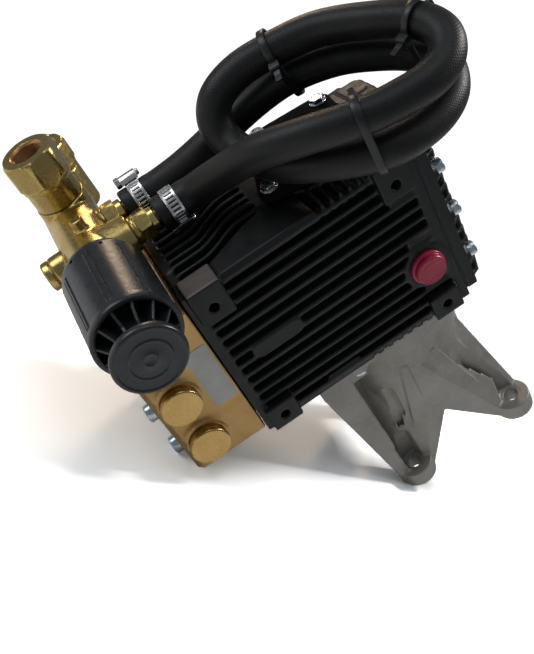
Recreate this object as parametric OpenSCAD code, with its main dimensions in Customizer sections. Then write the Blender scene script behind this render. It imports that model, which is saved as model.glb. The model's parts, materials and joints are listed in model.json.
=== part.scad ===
// Triplex plunger pump for a pressure washer, driven by a vertical engine shaft.
// Origin: crank axis where it meets the engine mounting plane.
// +Z runs up the crank axis, -X points at the brass manifold head,
// -Y (front) points at the finned face that carries the four tapped holes.

/* [Engine flange] */
// Height from the engine mounting plane to the crankcase
flange_h = 147; // [146:1:149]
// Bolt circle of the four feet
feet_pcd = 130; // [128:1:134]
// Diameter of the hole in each foot
foot_hole_d = 11; // [9:0.5:12]
// Bore of the hollow drive shaft
shaft_bore_d = 25.4; // [24:0.2:26]

/* [Crankcase] */
// Pitch of the three plungers along the crank axis
plunger_pitch = 41; // [40.5:0.5:41.5]
// Half thickness of the crankcase across its finned faces
case_half_t = 62; // [62:0.5:64]
// Spacing of the tapped mounting holes along the plungers
base_dx = 132; // [130:1:133]
// Spacing of the tapped mounting holes along the crank axis
base_dz = 108; // [106:1:110]
// Diameter of the tapped mounting holes
base_hole_d = 6.8; // [6:0.1:8]
// Thickness of a cooling fin
fin_t = 3.2; // [2.6:0.2:3.6]

/* [Mechanism] */
// Throw of the crankshaft, half the stroke
crank_throw = 5; // [4:0.5:5]
// Diameter of the plungers
plunger_d = 15; // [14:0.5:15]
// Distance from crank axis to wrist pin at mid stroke
rod_len = 75; // [75:0.5:76]

/* [Unloader] */
// Outside diameter of the adjusting knob
knob_d = 55; // [52:1:55]
// Length of the knurled skirt of the knob
knob_l = 70; // [68:1:71]
// Number of raised ribs around the knob
knob_ribs = 8; // [8:1:16]

/* [Hose] */
// Outside diameter of the bypass hose
hose_od = 22.4; // [21:0.2:22.6]
// Inside diameter of the bypass hose
hose_id = 13.2; // [13:0.1:14]

/* [Hidden] */
$fn = 48;

// Crankcase
case_h = 132;
bottom_z = flange_h;
top_z = bottom_z + case_h;
mid_z = bottom_z + case_h/2;    // middle plunger
side_y = case_half_t;           // finned faces lie at -side_y and +side_y
case_x0 = -123;                 // end at the manifold head
case_x1 = 42;                   // end at the rear cover
fin_depth = 7;
fin_count = 14;
lug_y = -side_y - 4.6;          // face of the mounting lugs
filler_x = 22.5;
filler_z = mid_z - 22;
spigot_r = 41;                  // flange spigot inside the crankcase
cover_spigot_r = 34.5;
cover_t = 6;

// Manifold head
head_x0 = -177;
head_x1 = -123.5;
head_z0 = mid_z - 62;
head_z1 = mid_z + 57;
valve_x = -160;                 // axis of the valve chambers
valve_y = [-20.2, 47];          // the two rows of valve seats
chamber_r = 11;
seal_r = 12;
cap_groove = [4.8, 3.4];        // depth of the O-ring in the front and back caps
bolt_seat_x = head_x0 + 1.5;
washer_t = 1.6;

// Shaft and bearings
bell_x = -7;                    // the bell sits a little towards the head
foot_offset = feet_pcd/2/sqrt(2);
shaft_end_z = 42;
drive_seat_r = 34;
drive_journal_r = 20;
top_seat_r = 31;
top_journal_r = 17.5;
seal_seat_r = 28;
crosshead_r = 15;
pin_r = 5;
// z, width, ball radius, ball circle radius, outer race radii, inner race radii
bearings = [
  [bottom_z+2, 15, 4.2, 27,   [29.6, drive_seat_r], [drive_journal_r, 24.4]],
  [top_z-16,   14, 4,   24.3, [26.8, top_seat_r],   [top_journal_r, 21.8]]];

// Screws
m6_r = 3;
m8_r = 4;
m6_hole_r = m6_r + 0.05;
m8_hole_r = m8_r + 0.05;

// Unloader
unloader_x = -152;
unloader_z = 300;
spring_y = -12;                 // where the spring housing starts
knob_y = spring_y - 14.5;
stub_x = -178;
stub_y = 7;
inlet_at = [-151, 52];
outlet_at = [-144.2, 85.4];
port_r = 10;
port_foot = 18.5;               // foot of the port tubes above the unloader axis
barb_y = [-3, 26];
barb_dx = [0, -14];             // shift of each barb along x

// Places
function plunger_z(k) = mid_z + (k-1)*plunger_pitch;
function throw_x(k) = crank_throw*cos(120*k);
function pin_at(k) = [throw_x(k)-rod_len, 0, plunger_z(k)];
function base_at(column, row) = [-108 + column*base_dx, mid_z - 3 - base_dz/2 + row*base_dz];
plunger_yz = [for (k=[0:2]) [0, plunger_z(k)]];
valve_xz = [for (k=[0:2]) [valve_x, plunger_z(k)]];
base_xz = [for (column=[0,1], row=[0,1]) base_at(column, row)];
rear_yz = [for (s=[-1,1], z=[bottom_z+28, mid_z, top_z-30]) [s*(side_y-8), z]];
bolt_yz = [for (y=[-30,30], z=[mid_z-57, mid_z-20.5, mid_z+20.5]) [y, z]];
cover_xy = [[-38,-24], [25,28.5], [-20,33.5], [20,-38]];
flange_xy = [[35,-41], [35,41], [-48,-50], [-48,50]];
gallery_xy = [[-166,-41], [valve_x,51.5]];

// ---------- helpers ----------
module box(corner, size) translate(corner) cube(size);
module bar_x(x0, x1, y, z, r) translate([x0, y, z]) rotate([0,90,0]) cylinder(r=r, h=x1-x0);
module bar_y(y0, y1, x, z, r) translate([x, y0, z]) rotate([-90,0,0]) cylinder(r=r, h=y1-y0);
module bars_x(x0, x1, places, r) for (p=places) bar_x(x0, x1, p[0], p[1], r);
module bars_y(y0, y1, places, r) for (p=places) bar_y(y0, y1, p[0], p[1], r);
module bars_z(z, h, places, r) for (p=places) translate([p[0], p[1], z]) cylinder(r=r, h=h);
module disc(z, h, r, x=0, sides=96) translate([x,0,z]) cylinder(r=r, h=h, $fn=sides);
module both_sides() { // the children and their mirror image across y = 0
  children();
  mirror([0,1,0]) children();
}
module chamfered(r, h, c) { // cylinder with a chamfered far end
  cylinder(r=r, h=h-c);
  translate([0,0,h-c]) cylinder(r1=r, r2=r-c, h=c);
}
module ring(inner_r, outer_r, h) difference() {
  cylinder(r=outer_r, h=h);
  translate([0,0,-1]) cylinder(r=inner_r, h=h+2);
}
module torus(big_r, wire_r, sides, wire_sides=16)
  rotate_extrude($fn=sides) translate([big_r,0]) circle(r=wire_r, $fn=wire_sides);
module socket_screw(r, length, head_r, head_h) difference() { // head above z=0, shank below
  union() {
    translate([0,0,-length]) cylinder(r=r, h=length);
    chamfered(head_r, head_h, 0.5);
  }
  translate([0,0,head_h*0.45]) cylinder(r=r*0.95, h=head_h, $fn=6);
}
module hex_screw(r, length, head_r, head_h) {
  translate([0,0,-length]) cylinder(r=r, h=length);
  cylinder(r=head_r, h=head_h, $fn=6);
}

// ---------- crankcase ----------
function smooth_step(t) = let(u = max(0, min(1, t))) u*u*(3-2*u);
module wave_fin(y, dz, end_x) { // fin on the top face that steps across in an S
  steps = 12;
  start_x = -98;
  run = 34;
  shift = 13;
  fin_y = function(x) y + shift*smooth_step((x-start_x)/run);
  xs = [case_x0+3, for (i=[0:steps]) start_x + i*run/steps, end_x];
  translate([0,0,top_z-9]) linear_extrude(dz+9) polygon([
    for (x=xs) [x, fin_y(x)-1.5],
    for (i=[len(xs)-1:-1:0]) [xs[i], fin_y(xs[i])+1.5]]);
}
module case_lug(place, w, h, extra)
  box([place[0]-w/2, lug_y, place[1]-h/2], [w, 20, h+extra]);
// cutter for a top that falls away towards the back, starting at start_y
module back_slope(x0, x1, start_y, start_dz, middle_dz)
  translate([x0,0,0]) rotate([90,0,90]) linear_extrude(x1-x0) polygon([
    [start_y, top_z+15], [start_y, top_z+start_dz], [47, top_z+middle_dz],
    [side_y+6, top_z-17], [side_y+6, top_z+15]]);
module rear_end_slope(x0, x1, dz) back_slope(x0, x1, 8, 0.4+dz, -7.5+dz);

module case_sides() {
  case_l = case_x1 - case_x0;
  // core block and end plates
  box([case_x0, -side_y+fin_depth, bottom_z], [case_l, 2*side_y-2*fin_depth, case_h-7]);
  box([case_x0, -side_y, bottom_z], [7, 2*side_y, case_h]);
  box([case_x1-8, -side_y, bottom_z], [8, 2*side_y, case_h]);
  both_sides() {
    // long fins
    for (i=[0:fin_count-1])
      box([case_x0+4, -side_y, bottom_z + 4 + i*(case_h-8-fin_t)/(fin_count-1)],
        [case_l-8, fin_depth+1, fin_t]);
    // rail along the lower edge
    box([case_x0, -side_y+1, bottom_z], [case_l, fin_depth, 3]);
    // ears above the flange
    box([-70, -side_y+1, bottom_z], [24, 15, 10]);
  }
  // lugs around the tapped holes
  case_lug(base_at(0,1), 23, 21, 6.4);
  case_lug(base_at(1,1), 22, 20, 6.4);
  case_lug(base_at(0,0), 22, 17.6, 2);
  case_lug(base_at(1,0), 22, 17.6, 1);
  // boss under the filler plug
  bar_y(-side_y-0.4, -side_y+14, filler_x, filler_z, 16.5);
  // oval pad between the fins
  bars_y(-side_y-0.8, -side_y+8, [[-98, mid_z-1], [-72, mid_z-1]], 6);
  box([-98, -side_y-0.8, mid_z-7], [26, 9, 12]);
  // screw bosses of the rear cover
  bars_x(case_x1-26, case_x1, rear_yz, 7.5);
}
module case_top() {
  // wave and straight fins by the head
  for (i=[0:6]) wave_fin(-38 + i*8.5, i==1 ? 0.8 : 0, -53);
  for (y=[24:7:52]) box([case_x0+3, y, top_z-9], [70, 3, 9]);
  // smooth swelling along the front edge
  translate([0,0,top_z-9]) linear_extrude(8.2) polygon([
    [-114,-side_y+1], [-95,-44], [-66,-31], [-47,-27], [-28,-37], [-26,-side_y+1]]);
  // boss around the shaft end
  translate([0,0,top_z-9]) linear_extrude(9) union() {
    intersection() {
      circle(r=44, $fn=64);
      translate([-60,-60]) square([60+case_x1-1, 120]);
    }
    translate([-52,-26]) square([40,62]);
  }
  // cross fins by the rear cover, every second one lower
  for (i=[0:8]) box([-22+i*6.6, -side_y+1, top_z-9], [2.6, 2*side_y-2, 9-0.5*(i%2)]);
}
module case_cuts() {
  // top falls away towards the back
  back_slope(case_x0-1, 24.3, 46.7, -4.3, -4.6);
  difference() {
    rear_end_slope(24, case_x1+1, 0);
    disc(top_z-20, 40, 38.6);
  }
  // inner space around the crank, open to the rear cover
  box([-48, -48, bottom_z+10], [case_x1-6+48, 96, case_h-20]);
  box([case_x1-7, -46, bottom_z+12], [9, 92, case_h-24]);
  // openings for flange and side cover
  disc(bottom_z-1, 19, spigot_r);
  disc(top_z-16.5, 22, cover_spigot_r);
  // crosshead guides and plunger oil seals
  bars_x(-105, -40, plunger_yz, crosshead_r+0.05);
  bars_x(case_x0-1, -100, plunger_yz, 9.5);
  bars_x(case_x0-1, -114.5, plunger_yz, seal_r);
  // notches along the lower edge of the finned faces
  both_sides() for (i=[0:6]) box([-36+i*8, -side_y-1, bottom_z-1], [3.4, 7, 4.8]);
  // tapped mounting holes, filler hole, sight glass hole
  bars_y(lug_y-2, -side_y+13, base_xz, base_hole_d/2);
  bar_y(-side_y-2, -side_y+20, filler_x, filler_z, 8.05);
  bar_y(40, side_y+2, 0, mid_z, 10.05);
  // holes for the screws of flange, side cover, rear cover and head
  bars_z(bottom_z-1, 10.3, flange_xy, m8_hole_r);
  bars_z(top_z-12, 14, cover_xy, m6_hole_r);
  bars_x(case_x1-20, case_x1+1, rear_yz, m6_hole_r);
  bars_x(case_x0-1, case_x0+16, bolt_yz, m8_hole_r);
}
module crankcase() color([0.07,0.07,0.075]) difference() {
  union() {
    case_sides();
    case_top();
  }
  case_cuts();
}

// ---------- covers ----------
cover_x = case_x1 + 1; // inner face of the rear cover, behind the gasket
rear_screw_x = 53.5;
module rear_cover() color([0.06,0.06,0.065]) difference() {
  union() {
    box([cover_x, -side_y, bottom_z+6], [7.5, 2*side_y, case_h-7]);
    box([cover_x, -side_y+12, bottom_z+1], [6, 2*side_y-24, 6]);
    // fins with tapered ends, joined by three uprights
    for (i=[0:fin_count-2])
      translate([49, 0, bottom_z + 7 + i*(case_h-14-3)/(fin_count-2)]) linear_extrude(3.4)
        polygon([
          [0,-side_y+4], [8,-side_y+8], [13,-side_y+20], [15,-side_y+34],
          [15,side_y-34], [13,side_y-20], [8,side_y-8], [0,side_y-4]]);
    for (y=[-30,0,30]) box([49, y-1.6, bottom_z+6], [10, 3.2, case_h-12]);
    bars_x(cover_x, rear_screw_x, rear_yz, 7.5);
  }
  rear_end_slope(42.5, 70, 0);
  box([42, -44, bottom_z+13], [4.5, 88, case_h-26]);
  bars_x(42, 66, rear_yz, m6_hole_r);
  bars_x(rear_screw_x, 70, rear_yz, 7.6);
}
module rear_cover_gasket() color([0.2,0.22,0.25]) difference() {
  box([case_x1, -side_y+0.5, bottom_z+6.5], [1, 2*side_y-1, case_h-8]);
  rear_end_slope(case_x1-1, case_x1+2, -0.2);
  box([case_x1-1, -46, bottom_z+12], [3, 92, case_h-24]);
  bars_x(41, 44, rear_yz, m6_hole_r);
}
module rear_cover_screws() color([0.75,0.76,0.78])
  for (p=rear_yz) translate([rear_screw_x, p[0], p[1]]) rotate([0,90,0])
    socket_screw(m6_r, 28, 5, 6);
module sight_glass() color([0.9,0.75,0.3,0.6]) {
  bar_y(46, side_y-0.5, 0, mid_z, 10);
  bar_y(side_y, side_y+3, 0, mid_z, 13.5);
  bar_y(side_y-0.5, side_y, 0, mid_z, 10);
}
module side_cover() color([0.065,0.065,0.07]) difference() {
  union() {
    translate([0,0,top_z]) linear_extrude(cover_t) union() {
      circle(r=36, $fn=80);
      hull() for (p=cover_xy) translate(p) circle(r=8.6, $fn=32);
    }
    translate([0,0,top_z+5]) cylinder(r1=30, r2=27, h=3.4, $fn=64);
    disc(top_z-16, 17, cover_spigot_r);
    for (a=[0:60:300]) rotate(a+20) box([10,-1.5,top_z+5], [24,3,2.4]);
  }
  disc(top_z-17, 15, top_seat_r);
  disc(top_z-3, 4, 20, sides=48);
  bars_z(top_z-1, 12, cover_xy, m6_hole_r);
}
module side_cover_screws() color([0.75,0.76,0.78])
  for (p=cover_xy) translate([p[0], p[1], top_z+cover_t]) hex_screw(m6_r, 16, 5.6, 4);

// ---------- engine flange ----------
// Front legs; the back ones mirror them.
// pad x, direction of the wall, then wall angle and top z of each gusset
legs = [
  [-foot_offset, 241.6, [230.6, 96], [252.5, 110]],
  [foot_offset, 299, [286, 109], [312, 95]]];
function bell_wall(r, angle) = [bell_x + r*cos(angle), r*sin(angle)];

module bell() {
  difference() {
    union() {
      // rim plate under the crankcase, with a lobe at each screw
      translate([0,0,bottom_z-8]) linear_extrude(8) {
        translate([bell_x,0]) circle(r=54.5, $fn=96);
        for (p=flange_xy) {
          arm = p - [bell_x,0];
          translate(p) circle(r=9, $fn=32);
          translate([bell_x,0]) rotate(atan2(arm[1], arm[0]))
            translate([30,-9]) square([norm(arm)-30, 18]);
        }
      }
      // straight lip under the edges of the crankcase
      box([-50,-58.6,bottom_z-5], [77.5,117.2,5]);
      // collar below the rim, then the bell wall
      disc(bottom_z-23, 20, 52.5, bell_x);
      disc(50, bottom_z-56, 50, bell_x);
      // skirt on the side of the head
      box([-80,-42,bottom_z-29], [38,84,29]);
    }
    disc(49, bottom_z-57, 45, bell_x);
  }
  // bearing carrier and spigot
  disc(bottom_z-16, 16, 38.7);
  disc(bottom_z-1, 18, spigot_r);
}
module gusset(wall, end, wall_top_z) { // upright web from the bell wall out to the pad
  run = end - wall;
  length = norm(run);
  translate([wall[0],wall[1],0]) rotate([90,0,atan2(run[1],run[0])])
    translate([0,0,-1.9]) linear_extrude(3.8) polygon([
      [-5,wall_top_z], [0.5,wall_top_z], [length-0.5,15.5], [length+1,13.5],
      [length+1,4], [length-5,3], [-5,62]]);
}
module leg_pocket(leg) { // hollow between the two gussets of a leg
  outward = [cos(leg[1]), sin(leg[1])];
  across = [-sin(leg[1]), cos(leg[1])];
  tip = [leg[0], -foot_offset] - 8*outward;
  inset = 3.3; // degrees
  difference() {
    translate([0,0,14.4]) linear_extrude(78) polygon([
      bell_wall(47, leg[2][0]+inset), bell_wall(47, leg[3][0]-inset),
      tip+3.9*across, tip-3.9*across]);
    disc(10, 90, 47.6, bell_x);
  }
}
module leg(leg) {
  outward = [cos(leg[1]), sin(leg[1])];
  across = [-sin(leg[1]), cos(leg[1])];
  pad = [leg[0], -foot_offset];
  translate([pad[0],pad[1],0]) cylinder(r=14.5, h=14, $fn=64);
  // flanks that flare from the bell wall to the pad
  hull() {
    translate([pad[0],pad[1],1.5]) rotate(leg[1]) linear_extrude(11.5) intersection() {
      circle(r=14.2, $fn=64);
      translate([-20,-20]) square([17.5,40]);
    }
    translate([bell_x,0,0]) rotate(leg[1]) box([41.5,-25,50], [3.2,50,52]);
  }
  gusset(bell_wall(49, leg[2][0]), pad-7*outward-6*across, leg[2][1]);
  gusset(bell_wall(49, leg[3][0]), pad-7*outward+6*across, leg[3][1]);
}
module engine_flange() color([0.55,0.53,0.5]) difference() {
  union() {
    bell();
    both_sides() {
      for (row=legs) leg(row);
      // brace from the skirt to the pad on the side of the head
      hull() {
        box([-foot_offset-13.6,-foot_offset-6,2], [8,12,9]);
        box([-80,-42,bottom_z-28], [24,6,6]);
      }
    }
  }
  // open inside
  disc(-1, 52, 43.4, bell_x);
  disc(49, bottom_z-65, 45, bell_x);
  both_sides() for (row=legs) leg_pocket(row);
  // skirt is hollow
  box([-76,-38,bottom_z-30], [17,76,22]);
  // bearing seat, oil seal seat and shaft opening
  disc(bottom_z+2, 20, drive_seat_r);
  disc(bottom_z-6, 20, seal_seat_r);
  disc(bottom_z-20, 20, 24, sides=48);
  // foot holes with a shallow recess on top
  for (a=[45:90:315]) rotate(a) {
    translate([feet_pcd/2,0,-1]) cylinder(r=foot_hole_d/2, h=16.5);
    translate([feet_pcd/2,0,13.6]) cylinder(r=8.5, h=30);
  }
  // screw holes into the crankcase
  bars_z(bottom_z-10, 12, flange_xy, m8_hole_r);
  bars_z(bottom_z-40, 32, flange_xy, 7.6);
}
module flange_screws() color([0.7,0.71,0.73])
  for (p=flange_xy) translate([p[0],p[1],bottom_z-8]) rotate([180,0,0])
    hex_screw(m8_r, 16.5, 6.5, 5);

// ---------- bearings and crankshaft ----------
module races(column) for (b=bearings) translate([0,0,b[0]]) difference() {
  ring(b[column][0], b[column][1], b[1]);
  translate([0,0,b[1]/2]) torus(b[3], b[2]+0.1, 96, 32);
}
module bearing_outer_races() color([0.72,0.73,0.75]) races(4);
module bearing_inner_races() color([0.72,0.73,0.75]) races(5);
module bearing_balls() color([0.85,0.86,0.88])
  for (b=bearings, i=[0:8]) rotate(i*40) translate([b[3],0,b[0]+b[1]/2]) sphere(r=b[2], $fn=24);
module drive_oil_seal() color([0.1,0.1,0.1]) translate([0,0,bottom_z-6]) difference() {
  disc(0, 7, seal_seat_r);
  disc(-1, 10, 19.08);
  disc(-1, 4, 24);
}
module crankshaft() color([0.6,0.61,0.63]) difference() {
  top_journal_z = plunger_z(2) + 7.5;
  union() {
    disc(shaft_end_z, bottom_z+1.4-shaft_end_z, 19);
    disc(bottom_z+1.3, 16.3, drive_journal_r);
    for (k=[0:2]) {
      // crank throw, then the web up to the next one
      translate([throw_x(k), crank_throw*sin(120*k), 0]) disc(plunger_z(k)-7.6, 15.2, 18);
      if (k<2) disc(plunger_z(k)+7.5, plunger_pitch-15, 23.6);
    }
    disc(top_journal_z, top_z-2.6-top_journal_z, top_journal_r);
  }
  // bore and keyway
  disc(shaft_end_z-1, 95, shaft_bore_d/2);
  box([0,-3.2,shaft_end_z-1], [shaft_bore_d/2+3, 6.4, 80]);
}

// ---------- plunger drive ----------
module rod(k) color([0.7,0.69,0.66]) translate([throw_x(k), 0, plunger_z(k)]) difference() {
  union() {
    disc(-7, 14, 37);
    disc(-6, 12, 9, -rod_len, sides=48);
    box([-rod_len+4,-6,-5], [rod_len-40, 12, 10]);
  }
  disc(-8, 16, 31);
  disc(-8, 16, pin_r+0.06, -rod_len, sides=48);
}
module wrist_pin(k) color([0.8,0.8,0.82])
  translate(pin_at(k) - [0,0,12]) cylinder(r=pin_r, h=24);
module crosshead(k) color([0.62,0.62,0.64]) translate(pin_at(k)) difference() {
  rotate([0,90,0]) {
    disc(-17, 34, crosshead_r);
    disc(-24, 8, 8, sides=48);
  }
  box([-11,-10.5,-7], [40, 21, 14]);
  translate([0,0,-16]) cylinder(r=pin_r, h=32);
}
module plunger(k) color([0.95,0.94,0.9])
  translate(pin_at(k)) rotate([0,-90,0]) translate([0,0,24]) chamfered(plunger_d/2, 52, 1);
module plunger_rings(x, gap, h)
  for (k=[0:2]) translate([x,0,plunger_z(k)]) rotate([0,90,0]) ring(plunger_d/2+gap, seal_r, h);
module plunger_oil_seals() color([0.12,0.12,0.12]) plunger_rings(case_x0+0.5, 0.08, 7);
module water_seals() color([0.15,0.15,0.16]) plunger_rings(-140, 0.08, 12);
module seal_retainers() color([0.75,0.6,0.3]) plunger_rings(-127.5, 0.3, 3.6);

// ---------- manifold head ----------
module manifold_head() color([0.72,0.56,0.32]) difference() {
  union() {
    // block with its outer upright edges chamfered
    translate([0,0,head_z0]) linear_extrude(head_z1-head_z0) polygon([
      [head_x0,-side_y+5], [head_x0+4,-side_y+1], [head_x1,-side_y+1],
      [head_x1,side_y-1], [head_x0+4,side_y-1], [head_x0,side_y-5]]);
    // swelling of the outer end over each chamber
    bars_x(head_x0-5, head_x0+10, plunger_yz, 13);
    // raised rings around the valve caps
    bars_y(-side_y, -side_y+4, valve_xz, 15);
    bars_y(side_y-4, side_y, valve_xz, 15);
  }
  // plunger bores
  bars_x(-140, head_x1+1, plunger_yz, seal_r);
  bars_x(valve_x, -139, plunger_yz, 9);
  // valve chambers
  bars_y(-side_y-1, -20, valve_xz, chamber_r);
  bars_y(-21, 22, valve_xz, 7);
  bars_y(18, side_y+1, valve_xz, chamber_r);
  // galleries, each with a plug seat at the bottom
  bars_z(head_z0-1, 110, [gallery_xy[0]], 5);
  bars_z(head_z0-1, 122, [gallery_xy[1]], 4.5);
  bars_z(head_z0-1, 9, gallery_xy, 7.05);
  // head bolt holes
  bars_x(head_x0-2, head_x1+1, bolt_yz, m8_hole_r);
  bars_x(head_x0-2, bolt_seat_x, bolt_yz, 9);
}
module at_bolts() // children's z runs outwards, from the top of the washers
  for (p=bolt_yz) translate([bolt_seat_x-washer_t, p[0], p[1]]) rotate([0,-90,0]) children();
module head_bolts() color([0.78,0.79,0.82]) at_bolts() socket_screw(m8_r, 68, 6.5, 8);
module head_bolt_washers() color([0.8,0.81,0.83])
  at_bolts() translate([0,0,-washer_t]) ring(4.1, 7.4, washer_t);

module at_caps(side) // side -1 front, 1 back; children's z runs outwards
  for (p=valve_xz) translate([p[0], side*side_y, p[1]]) rotate([-90*side,0,0]) children();
module valve_cap(depth, groove) difference() { // plug below z=0, flange above
  union() {
    translate([0,0,-depth]) cylinder(r=10.9, h=depth);
    chamfered(14, 7, 1);
  }
  translate([0,0,-groove-1.2]) ring(9.2, 12, 2.4);
}
module valve_caps() color([0.8,0.62,0.3]) {
  at_caps(-1) difference() {
    valve_cap(13, cap_groove[0]);
    translate([0,0,-14]) cylinder(r=7, h=6);
  }
  at_caps(1) valve_cap(5.5, cap_groove[1]);
}
module valve_cap_orings() color([0.08,0.08,0.08])
  for (i=[0,1]) at_caps(2*i-1) translate([0,0,-cap_groove[i]]) torus(10.1, 0.85, 48);

module at_valve(n) // n 0 to 2 front row, 3 to 5 back row; children's z runs to -Y
  translate([valve_x, valve_y[floor(n/3)], plunger_z(n%3)]) rotate([90,0,0]) children();
module at_valves() for (n=[0:5]) at_valve(n) children();
module valve_seats() color([0.75,0.75,0.78]) at_valves() ring(5, chamber_r, 5);
module valve_cages() color([0.85,0.85,0.8]) at_valves() translate([0,0,5]) difference() {
  cylinder(r=10.95, h=20);
  translate([0,0,-1]) cylinder(r=9.4, h=18);
  cylinder(r=2.1, h=30);
  for (a=[0,60,120]) rotate(a) box([-12,-3,4], [24,6,9]);
}
module valve_springs() color([0.7,0.7,0.72]) // stacked rings stand for the coils
  at_valves() for (i=[0:3]) translate([0,0,11+i*3]) torus(6, 0.6, 32);
module valve_poppet(n) color([0.8,0.8,0.84]) at_valve(n) translate([0,0,5]) {
  cylinder(r=8, h=2.2);
  translate([0,0,2.1]) cylinder(r=2, h=15.4);
}
module gallery_plugs() color([0.74,0.58,0.32])
  for (p=gallery_xy) translate([p[0],p[1],head_z0]) {
    cylinder(r=7, h=7.5);
    translate([0,0,-3]) cylinder(r=10, h=3);
    translate([0,0,-7]) cylinder(r=7.5, h=4, $fn=6);
  }

// ---------- unloader ----------
port_run = outlet_at - inlet_at;
port_angle = atan2(port_run[1], port_run[0]);

module unloader_solid() {
  bar_y(-22, 66, unloader_x, unloader_z, 18);
  box([-169, -18, head_z1], [34, 78, 26]);
  // neck that carries the knob
  bar_y(spring_y-70, -20, unloader_x, unloader_z, 15);
  // feet of the port tubes and the web between them
  bars_z(unloader_z-14, 14+port_foot, [inlet_at], 17.2);
  bars_z(unloader_z-14, 14+port_foot, [outlet_at], 15.3);
  translate([inlet_at[0],inlet_at[1],0]) rotate(port_angle)
    box([0,-12,unloader_z-12.4], [34,24,11.2+port_foot]);
  // bosses for the hose barbs
  for (i=[0,1]) {
    bar_x(unloader_x, -119+barb_dx[i], barb_y[i], unloader_z, 9.5);
    translate([-149,barb_y[i],unloader_z]) rotate([0,90,0])
      cylinder(r1=17, r2=12.2, h=26+barb_dx[i]);
  }
  // stub on the outer side
  bar_x(stub_x, unloader_x, stub_y, unloader_z, 10.5);
  // sensor boss
  translate([-148.5, 6, unloader_z]) cylinder(r=4.4, h=25);
}
module unloader_cuts() {
  // long bore: spring housing, then piston bore
  bar_y(spring_y-72, spring_y-6, unloader_x, unloader_z, 11.5);
  bar_y(spring_y-8, 50, unloader_x, unloader_z, 8);
  // ports up into the tubes, and the passage between them
  bars_z(unloader_z-4, 30, [inlet_at, outlet_at], 7);
  translate([inlet_at[0],inlet_at[1],unloader_z]) rotate([0,90,port_angle])
    cylinder(r=5, h=33);
  // passages to the barbs
  for (i=[0,1]) {
    bar_x(unloader_x+4, -118+barb_dx[i], barb_y[i], unloader_z, 5);
    bar_x(-129+barb_dx[i], -118+barb_dx[i], barb_y[i], unloader_z, 6.6);
  }
  // stub bore
  bar_x(stub_x-1, unloader_x-4, stub_y, unloader_z, 4);
  bar_x(stub_x-1, -169, stub_y, unloader_z, 7.05);
  // gallery hole up from the head
  bars_z(head_z1-1, 24, [gallery_xy[1]], 4.5);
}
module unloader_body() color([0.62,0.52,0.26]) difference() {
  unloader_solid();
  unloader_cuts();
}
// tube from its foot at place up to top_z, with a neck, a hex top and a counterbored mouth
module port_tube(place, turn, end_z, hex_h, neck_r, mouth_depth) {
  length = end_z - unloader_z - port_foot;
  translate([place[0],place[1],unloader_z+port_foot]) rotate(turn) difference() {
    union() {
      cylinder(r=neck_r, h=length-hex_h);
      translate([0,0,length-hex_h-3]) cylinder(r=neck_r+0.8, h=4);
      translate([0,0,length-hex_h]) intersection() {
        cylinder(r=neck_r+3, h=hex_h, $fn=6);
        chamfered(neck_r+2.1, hex_h, 1.2);
      }
    }
    translate([0,0,-1]) cylinder(r=8, h=length+2);
    translate([0,0,length-mouth_depth]) cylinder(r=port_r, h=mouth_depth+1);
    translate([0,0,length-1.2]) cylinder(r1=port_r-0.1, r2=port_r+1.2, h=1.4);
  }
}
module inlet_port_tube() color([0.62,0.52,0.26]) port_tube(inlet_at, 18, 358, 21, 16.4, 20);
module outlet_port_tube() color([0.62,0.52,0.26]) port_tube(outlet_at, -11.4, 338, 16, 15, 18.5);
module unloader_plug() color([0.66,0.55,0.28]) {
  bar_x(stub_x, -169.5, stub_y, unloader_z, 7);
  translate([stub_x-6,stub_y,unloader_z]) rotate([0,90,0]) chamfered(10, 6, 1);
}
module unloader_piston() color([0.8,0.8,0.82]) translate([0,spring_y,0]) {
  bar_y(-6, 26, unloader_x, unloader_z, 7.94);
  bar_y(-12, -6, unloader_x, unloader_z, 10);
}
module on_unloader(y) // children's z runs to -Y along the unloader axis
  translate([unloader_x, y, unloader_z]) rotate([90,0,0]) children();
module unloader_spring() color([0.5,0.5,0.52])
  for (i=[0:11]) on_unloader(spring_y-17-i*4) torus(9, 1.4, 40);
module spring_disc() color([0.66,0.55,0.28]) translate([0,spring_y,0]) {
  bar_y(-67, -63, unloader_x, unloader_z, 11.42);
  bar_y(-72, -67, unloader_x, unloader_z, 6);
}
module adjusting_knob() color([0.16,0.17,0.19]) on_unloader(knob_y) difference() {
  knob_r = knob_d/2;
  union() {
    cylinder(r1=knob_r-1.6, r2=knob_r, h=4, $fn=96);
    disc(4, knob_l-4, knob_r);
    for (i=[0:knob_ribs-1]) rotate(i*360/knob_ribs) box([knob_r-1,-1,10], [1.6,2,knob_l-12]);
    // spokes that run in to the front disc
    for (i=[0:11]) rotate(i*30+9) rotate([90,0,0]) translate([0,0,-0.9]) linear_extrude(1.8)
      polygon([
        [8,knob_l-14], [knob_r-2,knob_l-14], [knob_r-2,knob_l],
        [17,knob_l+8], [16,knob_l+17], [8,knob_l+17]]);
    disc(knob_l-14, 31, 12, sides=48);
  }
  // hollow for the neck and the spring disc
  disc(-1, 58.5, 15.6);
  // front well around the spokes
  difference() {
    disc(knob_l-11, 12, knob_r-4);
    disc(knob_l-12, 14, 12, sides=48);
    for (i=[0:11]) rotate(i*30+9) box([8,-0.9,knob_l-12], [22,1.8,14]);
  }
}
module knob_cap() color([0.17,0.18,0.2]) on_unloader(knob_y-knob_l-17) difference() {
  chamfered(22.5, 6.5, 1.2);
  translate([0,0,5.6]) ring(13.2, 20, 2);
}
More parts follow.
